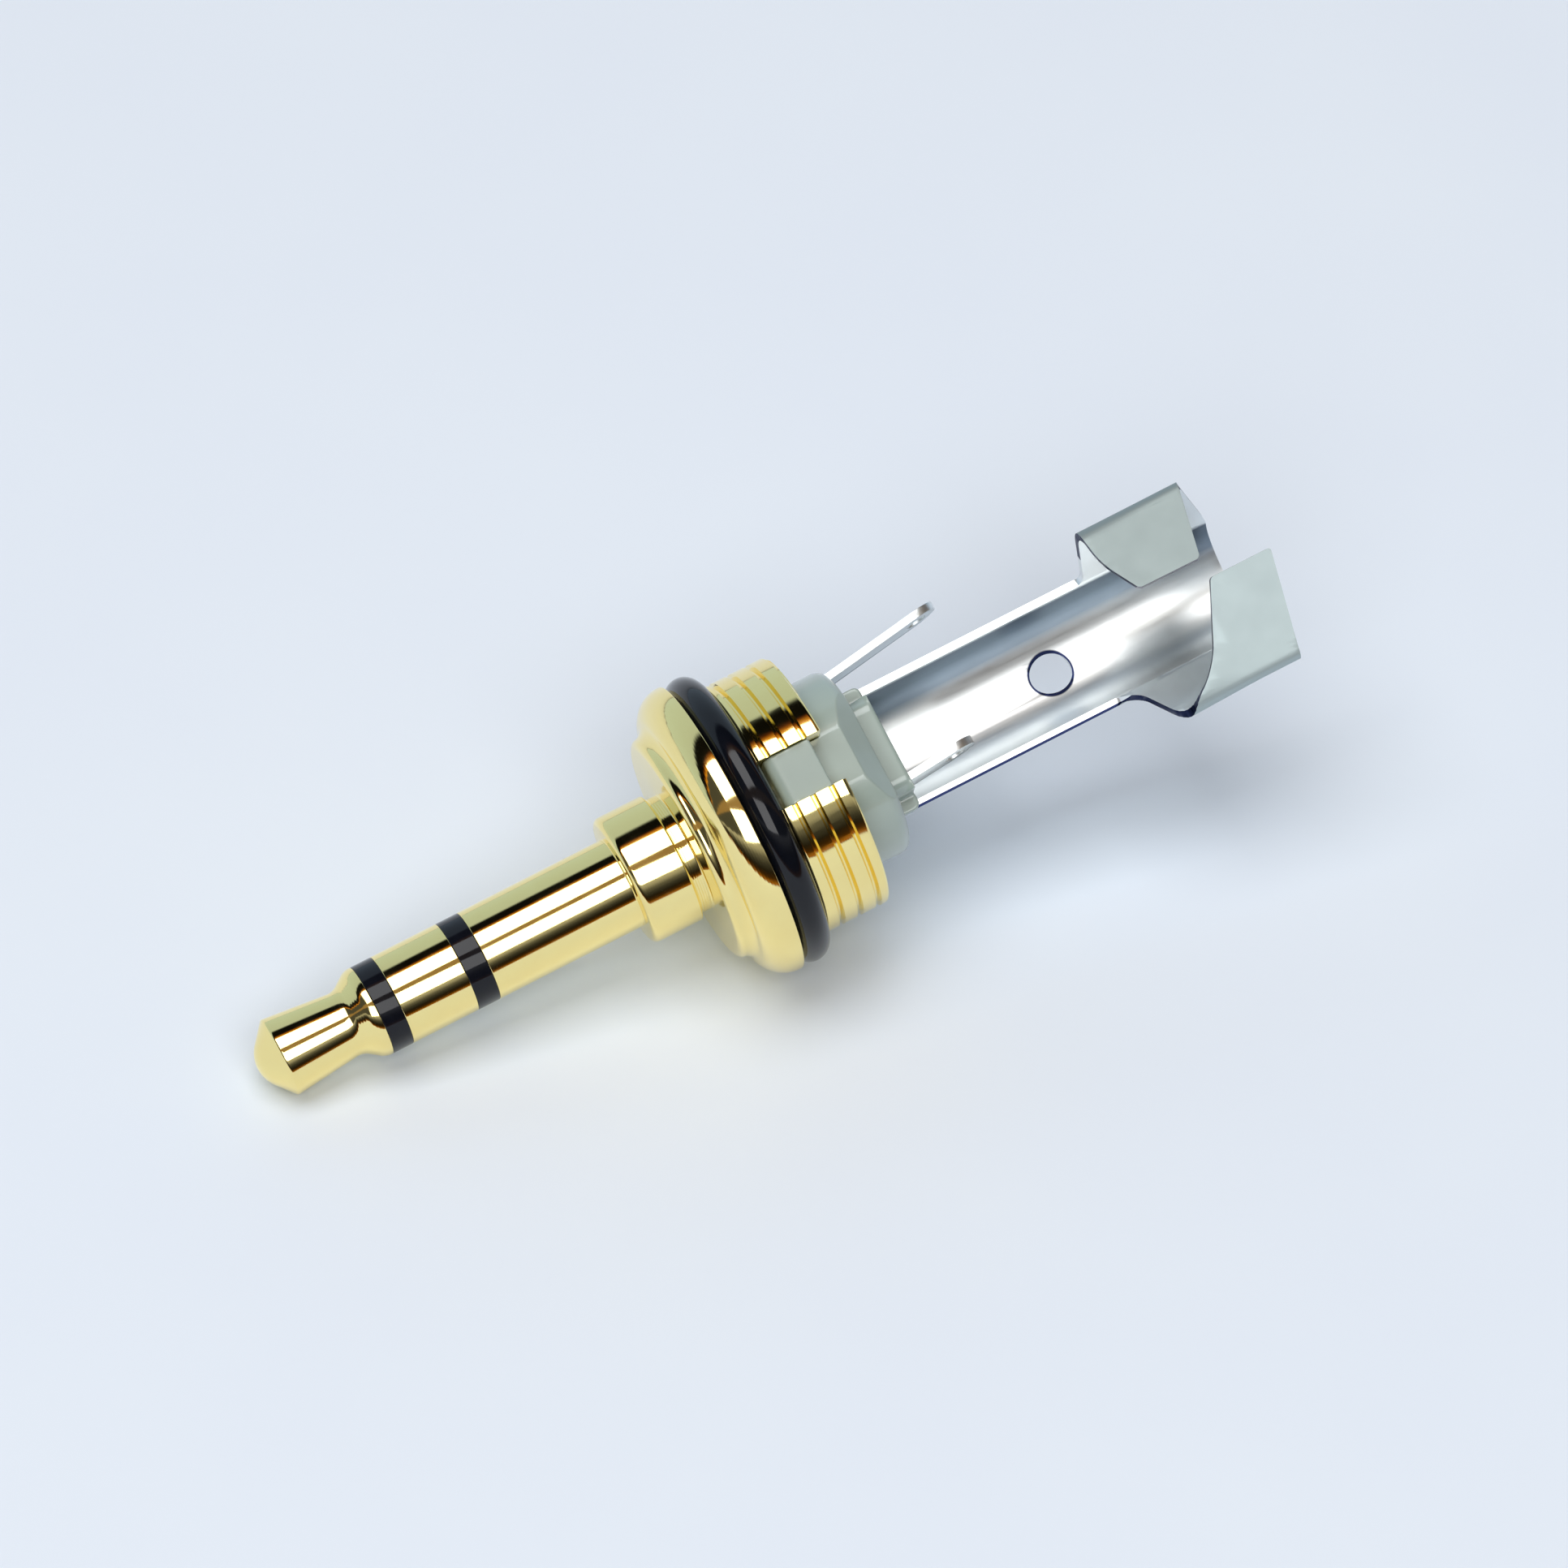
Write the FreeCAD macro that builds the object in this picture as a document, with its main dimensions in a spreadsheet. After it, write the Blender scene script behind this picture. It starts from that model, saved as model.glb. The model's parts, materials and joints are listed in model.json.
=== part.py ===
import FreeCAD, Part
import math
import os

import Sketcher

# Stereo mini jack plug, 3.5 mm, as it looks with its screw-on cover taken off.
# Every piece is drawn in the plug's own axes: X runs from the tip of the nose to the
# cable end, Z points out of the open side of the cable trough, Y points to the far side.
# All pieces then take the same placement, which lays the plug on a flat surface as it
# comes to rest: on the edge of the nose and the rim of the flange.

os.makedirs("parts", exist_ok=True)
doc = FreeCAD.newDocument("StereoMiniJackPlug")

# Driving dimensions in millimetres and degrees

driving_sizes = {
    "ShaftRadius": 1.75,  # standard plug shaft, 3.5 mm across
    "NoseLength": 0.9,
    "NoseRadius": 1.53,
    "TaperLength": 2.8,
    "NeckRadius": 1.235,
    "FlareLength": 0.7,
    "ShoulderLength": 0.28,
    "TipInsulatorLength": 0.82,
    "RingLength": 2.68,
    "RingInsulatorLength": 0.88,
    "SleeveLength": 5.94,
    "RodRadius": 0.6,
    "TipTubeWall": 0.22,
    "RingTubeWall": 0.28,
    "OuterTubeWall": 0.25,
    "CollarRadius": 2.52,
    "CollarLength": 2.0,
    "CollarChamfer": 0.18,
    "ReliefRadius": 2.3,
    "ReliefLength": 0.54,
    "FlangeFaceRadius": 4.33,
    "FlangeEdgeRadius": 4.46,
    "FlangeEdgeLength": 0.55,
    "RimStep": 0.75,  # how far the rim stands out past the thread
    "RimLand": 0.08,
    "SealSection": 1.3,  # cord thickness of the sealing ring
    "ThreadRadius": 5.0,  # outside of the M10 x 0.75 thread
    "ThreadLength": 2.64,
    "ThreadChamfer": 0.15,
    "SlotWidth": 2.0,
    "BoreDepth": 3.1,
    "KeyHeight": 4.6,  # top of the key that fills the slot, from the plug's axis
    "KeySetback": 0.25,  # from the seal's groove to the front of the key
    "KeyRound": 0.45,
    "SeamDepth": 0.5,  # how far the rear moulding reaches into the body
    "RearFlangeRadius": 3.66,
    "RearFlangeLength": 1.68,
    "RearFlangeChamfer": 0.35,
    "RearFlatHeight": 3.52,
    "RearFlatLength": 0.85,
    "RearBevelDrop": 0.9,
    "CupRadius": 2.52,
    "CupWall": 0.57,
    "CupLength": 0.92,
    "CupChamfer": 0.22,
    "CupRimHeight": 0.2,
    "LugSheet": 0.3,
    "LugWidth": 1.7,
    "LugHoleRadius": 0.42,
    "LugBend": 0.12,
    "RingLugInset": 0.5,  # from the body's end face to the lug's buried base
    "RingLugBaseRadius": 1.9,
    "RingLugOffset": 3.35,
    "RingLugSplay": 0.72,
    "RingLugReach": 4.8,
    "TipLugOffset": 1.66,
    "TipLugCloses": 0.35,
    "TipLugReach": 3.75,
    "RivetRadius": 0.95,
    "RivetHeight": 0.25,
    "ClampSheet": 0.3,
    "TroughRadius": 2.47,  # outside of the cable trough, a push fit in the body's bore
    "TroughLength": 14.3,
    "RimDrop": 0.3,  # edges of the trough, below the plug's axis
    "TongueReach": 3.6,
    "TongueDrop": 2.3,  # lower edge of the earthing tongue, below the plug's axis
    "InspectionHoleRadius": 0.8,
    "InspectionHolePlace": 6.85,
    "FoldRound": 0.12,  # inside of the wings' folds
    "FlapCornerRound": 0.25,
    "FarFoldOut": 3.99,
    "FarFoldHeight": 1.9,
    "FarFlapEdgeOut": 0.7,
    "FarFlapEdgeHeight": 2.1,
    "FarWallStart": 4.97,  # these five are measured from the trough's end, forwards
    "FarFoldStart": 4.7,
    "FarFlapEdgeStart": 3.7,
    "FarFlapEdgeEnd": 1.2,
    "FarFoldEnd": 0.62,
    "NearFoldOut": 4.55,
    "NearFoldHeight": 1.6,
    "NearFlapEdgeOut": 0.12,
    "NearFlapEdgeHeight": 2.3,
    "NearWallStart": 5.33,  # these five too, and the last two lie past the trough's end
    "NearFoldStart": 3.6,
    "NearFlapEdgeStart": 1.3,
    "NearFlapEdgeEnd": -1.24,
    "NearFoldEnd": -0.45,
    "RestRoll": 28.2,  # how far the open side leans to the near side at rest
}

SEAL_FLATS = 16

sizes = doc.addObject("Spreadsheet::Sheet", "Sizes")
for row, (alias, value) in enumerate(driving_sizes.items(), start=1):
    sizes.set(f"A{row}", alias)
    sizes.set(f"B{row}", str(value))
    sizes.setAlias(f"B{row}", alias)
doc.recompute()

# Stations along the plug and shared radii, worked out from the driving dimensions

worked_out = {
    "NoseBall": "(Sizes.NoseRadius ^ 2 + Sizes.NoseLength ^ 2) / (2 * Sizes.NoseLength)",
    "NeckX": "Sizes.NoseLength + Sizes.TaperLength",
    "ShoulderX": "NeckX + Sizes.FlareLength",
    "TipInsulatorX": "ShoulderX + Sizes.ShoulderLength",
    "RingX": "TipInsulatorX + Sizes.TipInsulatorLength",
    "RingInsulatorX": "RingX + Sizes.RingLength",
    "SleeveX": "RingInsulatorX + Sizes.RingInsulatorLength",
    "CollarX": "SleeveX + Sizes.SleeveLength",
    "ReliefX": "CollarX + Sizes.CollarLength",
    "FlangeX": "ReliefX + Sizes.ReliefLength",
    "FlangeEdgeX": "FlangeX + Sizes.FlangeEdgeLength",
    "RimRadius": "Sizes.ThreadRadius + Sizes.RimStep",
    "RimRound": "RimRadius - Sizes.FlangeEdgeRadius",
    "RimX": "FlangeEdgeX + RimRound",
    "GrooveX": "RimX + Sizes.RimLand",
    "GrooveRadius": "RimRadius - Sizes.SealSection",
    "ThreadX": "GrooveX + Sizes.SealSection",
    "BodyEndX": "ThreadX + Sizes.ThreadLength",
    "BoreX": "BodyEndX - Sizes.BoreDepth",
    "KeyX": "ThreadX + Sizes.KeySetback",
    "SeamX": "BodyEndX - Sizes.SeamDepth",
    "RearFaceX": "BodyEndX + Sizes.RearFlangeLength",
    "TroughX": "RearFaceX + Sizes.CupLength",
    "TroughEndX": "TroughX + Sizes.TroughLength",
    "TipTubeRadius": "Sizes.RodRadius + Sizes.TipTubeWall",
    "RingTubeRadius": "TipTubeRadius + Sizes.RingTubeWall",
    "OuterTubeRadius": "RingTubeRadius + Sizes.OuterTubeWall",
    "RingLugX": "BodyEndX + Sizes.RingLugInset",
    "RingTubeEndX": "RingLugX + Sizes.LugSheet",
    "TipTubeEndX": "RingTubeEndX + Sizes.LugSheet",
    "RivetX": "RearFaceX + Sizes.LugSheet",
    "TroughInside": "Sizes.TroughRadius - Sizes.ClampSheet",
    "ContactRun": "RimX - Sizes.NoseLength",
    "ContactRise": "Sizes.FlangeEdgeRadius - Sizes.NoseRadius",
    "ContactSpan": "sqrt(ContactRun ^ 2 + ContactRise ^ 2)",
    "RestTilt": "atan(ContactRise / ContactRun) + asin(RimRound / ContactSpan)",
    "RestLift": "Sizes.NoseRadius * cos(RestTilt) - Sizes.NoseLength * sin(RestTilt)",
    "RestShift": "0",
}

places = doc.addObject("Spreadsheet::Sheet", "Places")
for row, (alias, formula) in enumerate(worked_out.items(), start=1):
    places.set(f"A{row}", alias)
    places.set(f"B{row}", "=" + formula)
    places.setAlias(f"B{row}", alias)
doc.recompute()


def value_of(expression):
    """The number that an expression on the two sheets gives now."""
    number = places.evalExpression(expression)
    return getattr(number, "Value", number)


# Ways of drawing that several pieces share


def start_sketch(body, name, plane_role, height="0"):
    """An empty sketch on one of the body's own origin planes, raised along its normal."""
    sketch = body.newObject("Sketcher::SketchObject", name)
    plane = next(item for item in body.Origin.OriginFeatures if item.Role == plane_role)
    sketch.AttachmentSupport = (plane, [""])
    sketch.MapMode = "FlatFace"
    sketch.setExpression("AttachmentOffset.Base.z", height)
    return sketch


def set_point(sketch, edge, end, across, up):
    """Holds one end of an edge at a place that the sheets give."""
    for kind, expression in (("DistanceX", across), ("DistanceY", up)):
        held = sketch.addConstraint(
            Sketcher.Constraint(kind, -1, 1, edge, end, value_of(expression))
        )
        sketch.setExpression(f"Constraints[{held}]", expression)


def add_outline(sketch, points):
    """Draws a closed outline through points of the form (across, up) or
    (across, up, radius, side), where the edge that follows bends about a centre
    that lies to its left or right."""
    corners = [
        FreeCAD.Vector(value_of(point[0]), value_of(point[1]), 0) for point in points
    ]
    edges = []
    for index, point in enumerate(points):
        start = corners[index]
        finish = corners[(index + 1) % len(points)]
        if len(point) == 2:
            edge = sketch.addGeometry(Part.LineSegment(start, finish), False)
            edges.append((edge, 1, 2))
            continue
        radius = value_of(point[2])
        chord = finish - start
        left = FreeCAD.Vector(-chord.y, chord.x, 0).normalize()
        if point[3] == "right":
            left = left * -1
        sagitta = radius - math.sqrt(radius**2 - (chord.Length / 2) ** 2)
        middle = (start + finish) / 2 - left * sagitta
        edge = sketch.addGeometry(Part.Arc(start, middle, finish), False)
        starts_first = sketch.getPoint(edge, 1).distanceToPoint(start) < 1e-6
        edges.append((edge, 1, 2) if starts_first else (edge, 2, 1))
        bend = sketch.addConstraint(Sketcher.Constraint("Radius", edge, radius))
        sketch.setExpression(f"Constraints[{bend}]", point[2])
    for index, (edge, first, last) in enumerate(edges):
        following, following_first, _ = edges[(index + 1) % len(edges)]
        sketch.addConstraint(
            Sketcher.Constraint("Coincident", edge, last, following, following_first)
        )
        set_point(sketch, edge, first, points[index][0], points[index][1])


def add_circle(sketch, across, up, radius):
    """Draws a circle with its centre and radius from the sheets."""
    centre = FreeCAD.Vector(value_of(across), value_of(up), 0)
    circle = Part.Circle(centre, FreeCAD.Vector(0, 0, 1), value_of(radius))
    edge = sketch.addGeometry(circle, False)
    held = sketch.addConstraint(Sketcher.Constraint("Radius", edge, value_of(radius)))
    sketch.setExpression(f"Constraints[{held}]", radius)
    set_point(sketch, edge, 3, across, up)


def add_strip(sketch, points, thickness, side):
    """Draws a folded sheet seen on its edge: the given line of points, and a line
    beside it at the sheet's thickness, on the left or the right. Returns the corners
    of the line beside."""
    turn = 1 if side == "left" else -1
    gap = value_of(thickness)
    line = [FreeCAD.Vector(value_of(x), value_of(y), 0) for x, y in points]
    runs = [(b - a).normalize() for a, b in zip(line, line[1:])]
    normals = [FreeCAD.Vector(-run.y, run.x, 0) * turn for run in runs]
    beside = [line[0] + normals[0] * gap]
    for before, after, corner in zip(normals, normals[1:], line[1:]):
        mitre = (before + after) / (1 + before.dot(after))
        beside.append(corner + mitre * gap)
    beside.append(line[-1] + normals[-1] * gap)
    inner_corners = beside[1:-1]
    loop = line + beside[::-1]
    edges = [
        sketch.addGeometry(Part.LineSegment(a, b), False)
        for a, b in zip(loop, loop[1:] + loop[:1])
    ]
    for edge, following in zip(edges, edges[1:] + edges[:1]):
        sketch.addConstraint(Sketcher.Constraint("Coincident", edge, 2, following, 1))
    for edge, point in zip(edges, points):
        set_point(sketch, edge, 1, *point)
    count = len(runs)
    for index in range(count):
        opposite = edges[2 * count - index]
        sketch.addConstraint(Sketcher.Constraint("Parallel", edges[index], opposite))
        spaced = sketch.addConstraint(
            Sketcher.Constraint("Distance", edges[index], 1, opposite, gap)
        )
        sketch.setExpression(f"Constraints[{spaced}]", thickness)
    sketch.addConstraint(Sketcher.Constraint("Perpendicular", edges[count - 1], edges[count]))
    sketch.addConstraint(Sketcher.Constraint("Perpendicular", edges[-1], edges[0]))
    return inner_corners


def turn(body, name, points):
    """A solid of revolution about the plug's axis from an outline of (x, radius)."""
    sketch = start_sketch(body, name + "Outline", "XY_Plane")
    add_outline(sketch, points)
    feature = body.newObject("PartDesign::Revolution", name)
    feature.Profile = sketch
    feature.ReferenceAxis = (sketch, ["H_Axis"])
    feature.Angle = 360
    doc.recompute()
    return feature


def pad(body, name, sketch, length, midplane=False, reversed_way=False):
    """Thickens a sketch into a solid along its normal."""
    feature = body.newObject("PartDesign::Pad", name)
    feature.Profile = sketch
    feature.setExpression("Length", length)
    feature.Midplane = midplane
    feature.Reversed = reversed_way
    doc.recompute()
    return feature


def pocket(body, name, sketch, length, midplane=False, reversed_way=False):
    """Cuts a sketch out of the body and makes sure that it removed something."""
    before = body.Shape.Volume
    feature = body.newObject("PartDesign::Pocket", name)
    feature.Profile = sketch
    feature.setExpression("Length", length)
    feature.Midplane = midplane
    feature.Reversed = reversed_way
    doc.recompute()
    if not body.Shape.Volume < before:
        raise RuntimeError(f"{name} cut nothing")
    return feature


def dress(body, kind, name, picked, size):
    """A fillet or chamfer on the edges for which picked(edge) is true."""
    base = body.Tip
    names = [f"Edge{i}" for i, edge in enumerate(base.Shape.Edges, start=1) if picked(edge)]
    if not names:
        raise RuntimeError(f"{name} found no edge")
    feature = body.newObject(f"PartDesign::{kind}", name)
    feature.Base = (base, names)
    feature.setExpression("Radius" if kind == "Fillet" else "Size", size)
    doc.recompute()
    if feature.Shape.isNull():
        raise RuntimeError(f"{name} could not be made")
    return feature


def runs_along(edge, axis, **at):
    """True for a straight edge along an axis, at the given places on the others."""
    if not isinstance(edge.Curve, Part.Line):
        return False
    direction = edge.tangentAt(edge.FirstParameter)
    if abs(getattr(direction, axis)) < 1 - 1e-6:
        return False
    middle = edge.CenterOfMass
    return all(abs(getattr(middle, key) - value) < 0.02 for key, value in at.items())


def is_sheet_corner(edge, corner_places):
    """True for a short edge through the sheet's thickness, by one of some (x, y) places."""
    sheet = value_of("Sizes.ClampSheet")
    if not isinstance(edge.Curve, Part.Line) or edge.Length > 2 * sheet:
        return False
    middle = edge.CenterOfMass
    return any(math.hypot(middle.x - x, middle.y - y) < sheet for x, y in corner_places)


def lay_down(piece):
    """Gives a finished piece the plug's resting place."""
    piece.setExpression(
        "Placement",
        "placement(vector(Places.RestShift; 0; Places.RestLift); "
        "rotation(0; -Places.RestTilt; Sizes.RestRoll))",
    )


# Tip contact: nose, waisted tip and the rod that carries its signal to the rear,
# turned in one piece and peened over its solder lug

tip_contact = doc.addObject("PartDesign::Body", "tip_contact")
turn(
    tip_contact,
    "TipTurned",
    [
        ("0", "0", "Places.NoseBall", "right"),
        ("Sizes.NoseLength", "Sizes.NoseRadius"),
        ("Places.NeckX", "Sizes.NeckRadius"),
        ("Places.ShoulderX", "Sizes.ShaftRadius"),
        ("Places.TipInsulatorX", "Sizes.ShaftRadius"),
        ("Places.TipInsulatorX", "Sizes.RodRadius"),
        ("Places.RivetX", "Sizes.RodRadius"),
        ("Places.RivetX", "Sizes.RivetRadius"),
        ("Places.RivetX + Sizes.RivetHeight", "Sizes.RodRadius"),
        ("Places.RivetX + Sizes.RivetHeight", "0"),
    ],
)

# Tip insulator: black moulded ring with a thin tube round the rod

tip_insulator = doc.addObject("PartDesign::Body", "tip_insulator")
turn(
    tip_insulator,
    "TipInsulatorTurned",
    [
        ("Places.TipInsulatorX", "Sizes.RodRadius"),
        ("Places.TipInsulatorX", "Sizes.ShaftRadius"),
        ("Places.RingX", "Sizes.ShaftRadius"),
        ("Places.RingX", "Places.TipTubeRadius"),
        ("Places.TipTubeEndX", "Places.TipTubeRadius"),
        ("Places.TipTubeEndX", "Sizes.RodRadius"),
    ],
)

# Ring contact: gold band and the tube behind it, turned in one piece

ring_contact = doc.addObject("PartDesign::Body", "ring_contact")
turn(
    ring_contact,
    "RingTurned",
    [
        ("Places.RingX", "Places.TipTubeRadius"),
        ("Places.RingX", "Sizes.ShaftRadius"),
        ("Places.RingInsulatorX", "Sizes.ShaftRadius"),
        ("Places.RingInsulatorX", "Places.RingTubeRadius"),
        ("Places.RingTubeEndX", "Places.RingTubeRadius"),
        ("Places.RingTubeEndX", "Places.TipTubeRadius"),
    ],
)

# Ring insulator: black moulded ring with a tube between the ring's tube and the sleeve

ring_insulator = doc.addObject("PartDesign::Body", "ring_insulator")
turn(
    ring_insulator,
    "RingInsulatorTurned",
    [
        ("Places.RingInsulatorX", "Places.RingTubeRadius"),
        ("Places.RingInsulatorX", "Sizes.ShaftRadius"),
        ("Places.SleeveX", "Sizes.ShaftRadius"),
        ("Places.SleeveX", "Places.OuterTubeRadius"),
        ("Places.BoreX", "Places.OuterTubeRadius"),
        ("Places.BoreX", "Places.RingTubeRadius"),
    ],
)

# Plug body: sleeve, collar, domed flange, seal groove and cover thread, turned from one
# bar, with a slot milled across the thread

plug_body = doc.addObject("PartDesign::Body", "plug_body")
turn(
    plug_body,
    "BodyTurned",
    [
        ("Places.SleeveX", "Places.OuterTubeRadius"),
        ("Places.SleeveX", "Sizes.ShaftRadius"),
        ("Places.CollarX", "Sizes.ShaftRadius"),
        ("Places.CollarX", "Sizes.CollarRadius - Sizes.CollarChamfer"),
        ("Places.CollarX + Sizes.CollarChamfer", "Sizes.CollarRadius"),
        ("Places.ReliefX", "Sizes.CollarRadius"),
        ("Places.ReliefX", "Sizes.ReliefRadius"),
        ("Places.FlangeX", "Sizes.ReliefRadius"),
        ("Places.FlangeX", "Sizes.FlangeFaceRadius"),
        ("Places.FlangeEdgeX", "Sizes.FlangeEdgeRadius", "Places.RimRound", "right"),
        ("Places.RimX", "Places.RimRadius"),
        ("Places.GrooveX", "Places.RimRadius"),
        ("Places.GrooveX", "Places.GrooveRadius"),
        ("Places.ThreadX", "Places.GrooveRadius"),
        ("Places.ThreadX", "Sizes.ThreadRadius - Sizes.ThreadChamfer"),
        ("Places.ThreadX + Sizes.ThreadChamfer", "Sizes.ThreadRadius"),
        ("Places.BodyEndX - Sizes.ThreadChamfer", "Sizes.ThreadRadius"),
        ("Places.BodyEndX", "Sizes.ThreadRadius - Sizes.ThreadChamfer"),
        ("Places.BodyEndX", "Sizes.TroughRadius"),
        ("Places.BoreX", "Sizes.TroughRadius"),
        ("Places.BoreX", "Places.OuterTubeRadius"),
    ],
)
slot_sketch = start_sketch(plug_body, "SlotOutline", "XY_Plane")
add_outline(
    slot_sketch,
    [
        ("Places.ThreadX", "-Sizes.SlotWidth / 2"),
        ("Places.BodyEndX + 1", "-Sizes.SlotWidth / 2"),
        ("Places.BodyEndX + 1", "Sizes.SlotWidth / 2"),
        ("Places.ThreadX", "Sizes.SlotWidth / 2"),
    ],
)
pocket(plug_body, "Slot", slot_sketch, "2 * Sizes.ThreadRadius + 1", midplane=True)

# Sealing ring: black rubber cord in the groove behind the flange. Its round section is
# drawn with flats, and four of them touch the groove's walls and its root

o_ring = doc.addObject("PartDesign::Body", "o_ring")
seal_corners = []
for flat in range(SEAL_FLATS):
    turned_by = (flat + 0.5) * 360 / SEAL_FLATS
    corner_radius = f"Sizes.SealSection / 2 / cos({180 / SEAL_FLATS} deg)"
    seal_corners.append(
        (
            f"Places.GrooveX + Sizes.SealSection / 2 + {corner_radius} * cos({turned_by} deg)",
            f"Places.GrooveRadius + Sizes.SealSection / 2 + {corner_radius} * sin({turned_by} deg)",
        )
    )
turn(o_ring, "Seal", seal_corners)

# Front insulator: pale moulded core in the body's bore, with a key in each end of the slot

front_blank = doc.addObject("PartDesign::Body", "FrontInsulatorBlank")
turn(
    front_blank,
    "FrontCore",
    [
        ("Places.BoreX", "Places.RingTubeRadius"),
        ("Places.BoreX", "Sizes.TroughRadius"),
        ("Places.SeamX", "Sizes.TroughRadius"),
        ("Places.SeamX", "Places.RingTubeRadius"),
    ],
)
key_sketch = start_sketch(front_blank, "KeyOutline", "XZ_Plane")
add_outline(
    key_sketch,
    [
        ("Places.KeyX", "Places.RingTubeRadius + Sizes.OuterTubeWall"),
        ("Places.KeyX", "Sizes.KeyHeight - Sizes.KeyRound", "Sizes.KeyRound", "right"),
        ("Places.KeyX + Sizes.KeyRound", "Sizes.KeyHeight"),
        ("Places.SeamX", "Sizes.KeyHeight"),
        ("Places.SeamX", "Places.RingTubeRadius + Sizes.OuterTubeWall"),
    ],
)
top_key = pad(front_blank, "Key", key_sketch, "Sizes.SlotWidth", midplane=True)
key_pair = front_blank.newObject("PartDesign::PolarPattern", "KeyPair")
key_pair.Originals = [top_key]
front_axis = next(i for i in front_blank.Origin.OriginFeatures if i.Role == "X_Axis")
key_pair.Axis = (front_axis, [""])
key_pair.Occurrences = 2
front_blank.Tip = key_pair

# Ground clamp: one sheet-metal stamping that makes the earth contact and holds the cable.
# A half-round trough with a tongue at the front, and two staggered wings folded inwards

ground_clamp = doc.addObject("PartDesign::Body", "ground_clamp")
trough_sketch = start_sketch(ground_clamp, "TroughSection", "YZ_Plane", "Places.TroughX")
outer_edge = "sqrt(Sizes.TroughRadius ^ 2 - Sizes.RimDrop ^ 2)"
inner_edge = "sqrt(Places.TroughInside ^ 2 - Sizes.RimDrop ^ 2)"
add_outline(
    trough_sketch,
    [
        ("-" + outer_edge, "-Sizes.RimDrop", "Sizes.TroughRadius", "left"),
        (outer_edge, "-Sizes.RimDrop"),
        (inner_edge, "-Sizes.RimDrop", "Places.TroughInside", "right"),
        ("-" + inner_edge, "-Sizes.RimDrop"),
    ],
)
pad(ground_clamp, "Trough", trough_sketch, "Sizes.TroughLength")

tongue_sketch = start_sketch(ground_clamp, "TongueSection", "YZ_Plane", "Places.TroughX")
tongue_outer = "sqrt(Sizes.TroughRadius ^ 2 - Sizes.TongueDrop ^ 2)"
tongue_inner = (
    "Places.TroughInside / Sizes.TroughRadius * "
    "sqrt(Sizes.TroughRadius ^ 2 - Sizes.TongueDrop ^ 2)"
)
add_outline(
    tongue_sketch,
    [
        ("-" + outer_edge, "-Sizes.RimDrop", "Sizes.TroughRadius", "left"),
        ("-" + tongue_outer, "-Sizes.TongueDrop"),
        (
            "-" + tongue_inner,
            "-Sizes.TongueDrop * Places.TroughInside / Sizes.TroughRadius",
            "Places.TroughInside",
            "right",
        ),
        ("-" + inner_edge, "-Sizes.RimDrop"),
    ],
)
pad(ground_clamp, "Tongue", tongue_sketch, "Sizes.TongueReach", reversed_way=True)


def add_wing(wing, sign):
    """One wing: a wall that rises and leans out from the trough's edge, and a flap that
    is folded back over the trough. wing is Far or Near, with sign 1 or -1 for its side."""
    wall_start = f"Places.TroughEndX - Sizes.{wing}WallStart"
    reach = f"Sizes.{wing}WallStart + max(0; 1 - Sizes.{wing}FlapEdgeEnd)"
    lean_out = f"(Sizes.{wing}FoldOut - {outer_edge})"
    lean_up = f"(Sizes.{wing}FoldHeight + Sizes.RimDrop)"
    lean_length = f"sqrt({lean_out} ^ 2 + {lean_up} ^ 2)"
    root = start_sketch(ground_clamp, wing + "RootSection", "YZ_Plane", wall_start)
    add_outline(
        root,
        [
            (f"{sign} * {outer_edge}", "-Sizes.RimDrop"),
            (
                f"{sign} * ({outer_edge} - Sizes.ClampSheet * {lean_up} / {lean_length})",
                f"Sizes.ClampSheet * {lean_out} / {lean_length} - Sizes.RimDrop",
            ),
            (f"{sign} * {inner_edge}", "-Sizes.RimDrop"),
            (
                f"{sign} * ({outer_edge} + {inner_edge}) / 2",
                "-Sizes.RimDrop - Sizes.ClampSheet",
            ),
        ],
    )
    pad(ground_clamp, wing + "Root", root, f"Sizes.{wing}WallStart")
    section = start_sketch(ground_clamp, wing + "Section", "YZ_Plane", wall_start)
    inner_corners = add_strip(
        section,
        [
            (f"{sign} * {outer_edge}", "-Sizes.RimDrop"),
            (f"{sign} * Sizes.{wing}FoldOut", f"Sizes.{wing}FoldHeight"),
            (f"{sign} * Sizes.{wing}FlapEdgeOut", f"Sizes.{wing}FlapEdgeHeight"),
        ],
        "Sizes.ClampSheet",
        "left" if sign > 0 else "right",
    )
    pad(ground_clamp, wing + "Wing", section, reach)
    folds = [
        ("Inner", inner_corners[0], "Sizes.FoldRound"),
        (
            "Outer",
            FreeCAD.Vector(
                sign * value_of(f"Sizes.{wing}FoldOut"), value_of(f"Sizes.{wing}FoldHeight"), 0
            ),
            "Sizes.FoldRound + Sizes.ClampSheet",
        ),
    ]
    for part_of_fold, corner, radius in folds:
        dress(
            ground_clamp,
            "Fillet",
            wing + part_of_fold + "Fold",
            lambda edge: runs_along(edge, "x", y=corner.x, z=corner.y),
            radius,
        )


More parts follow.
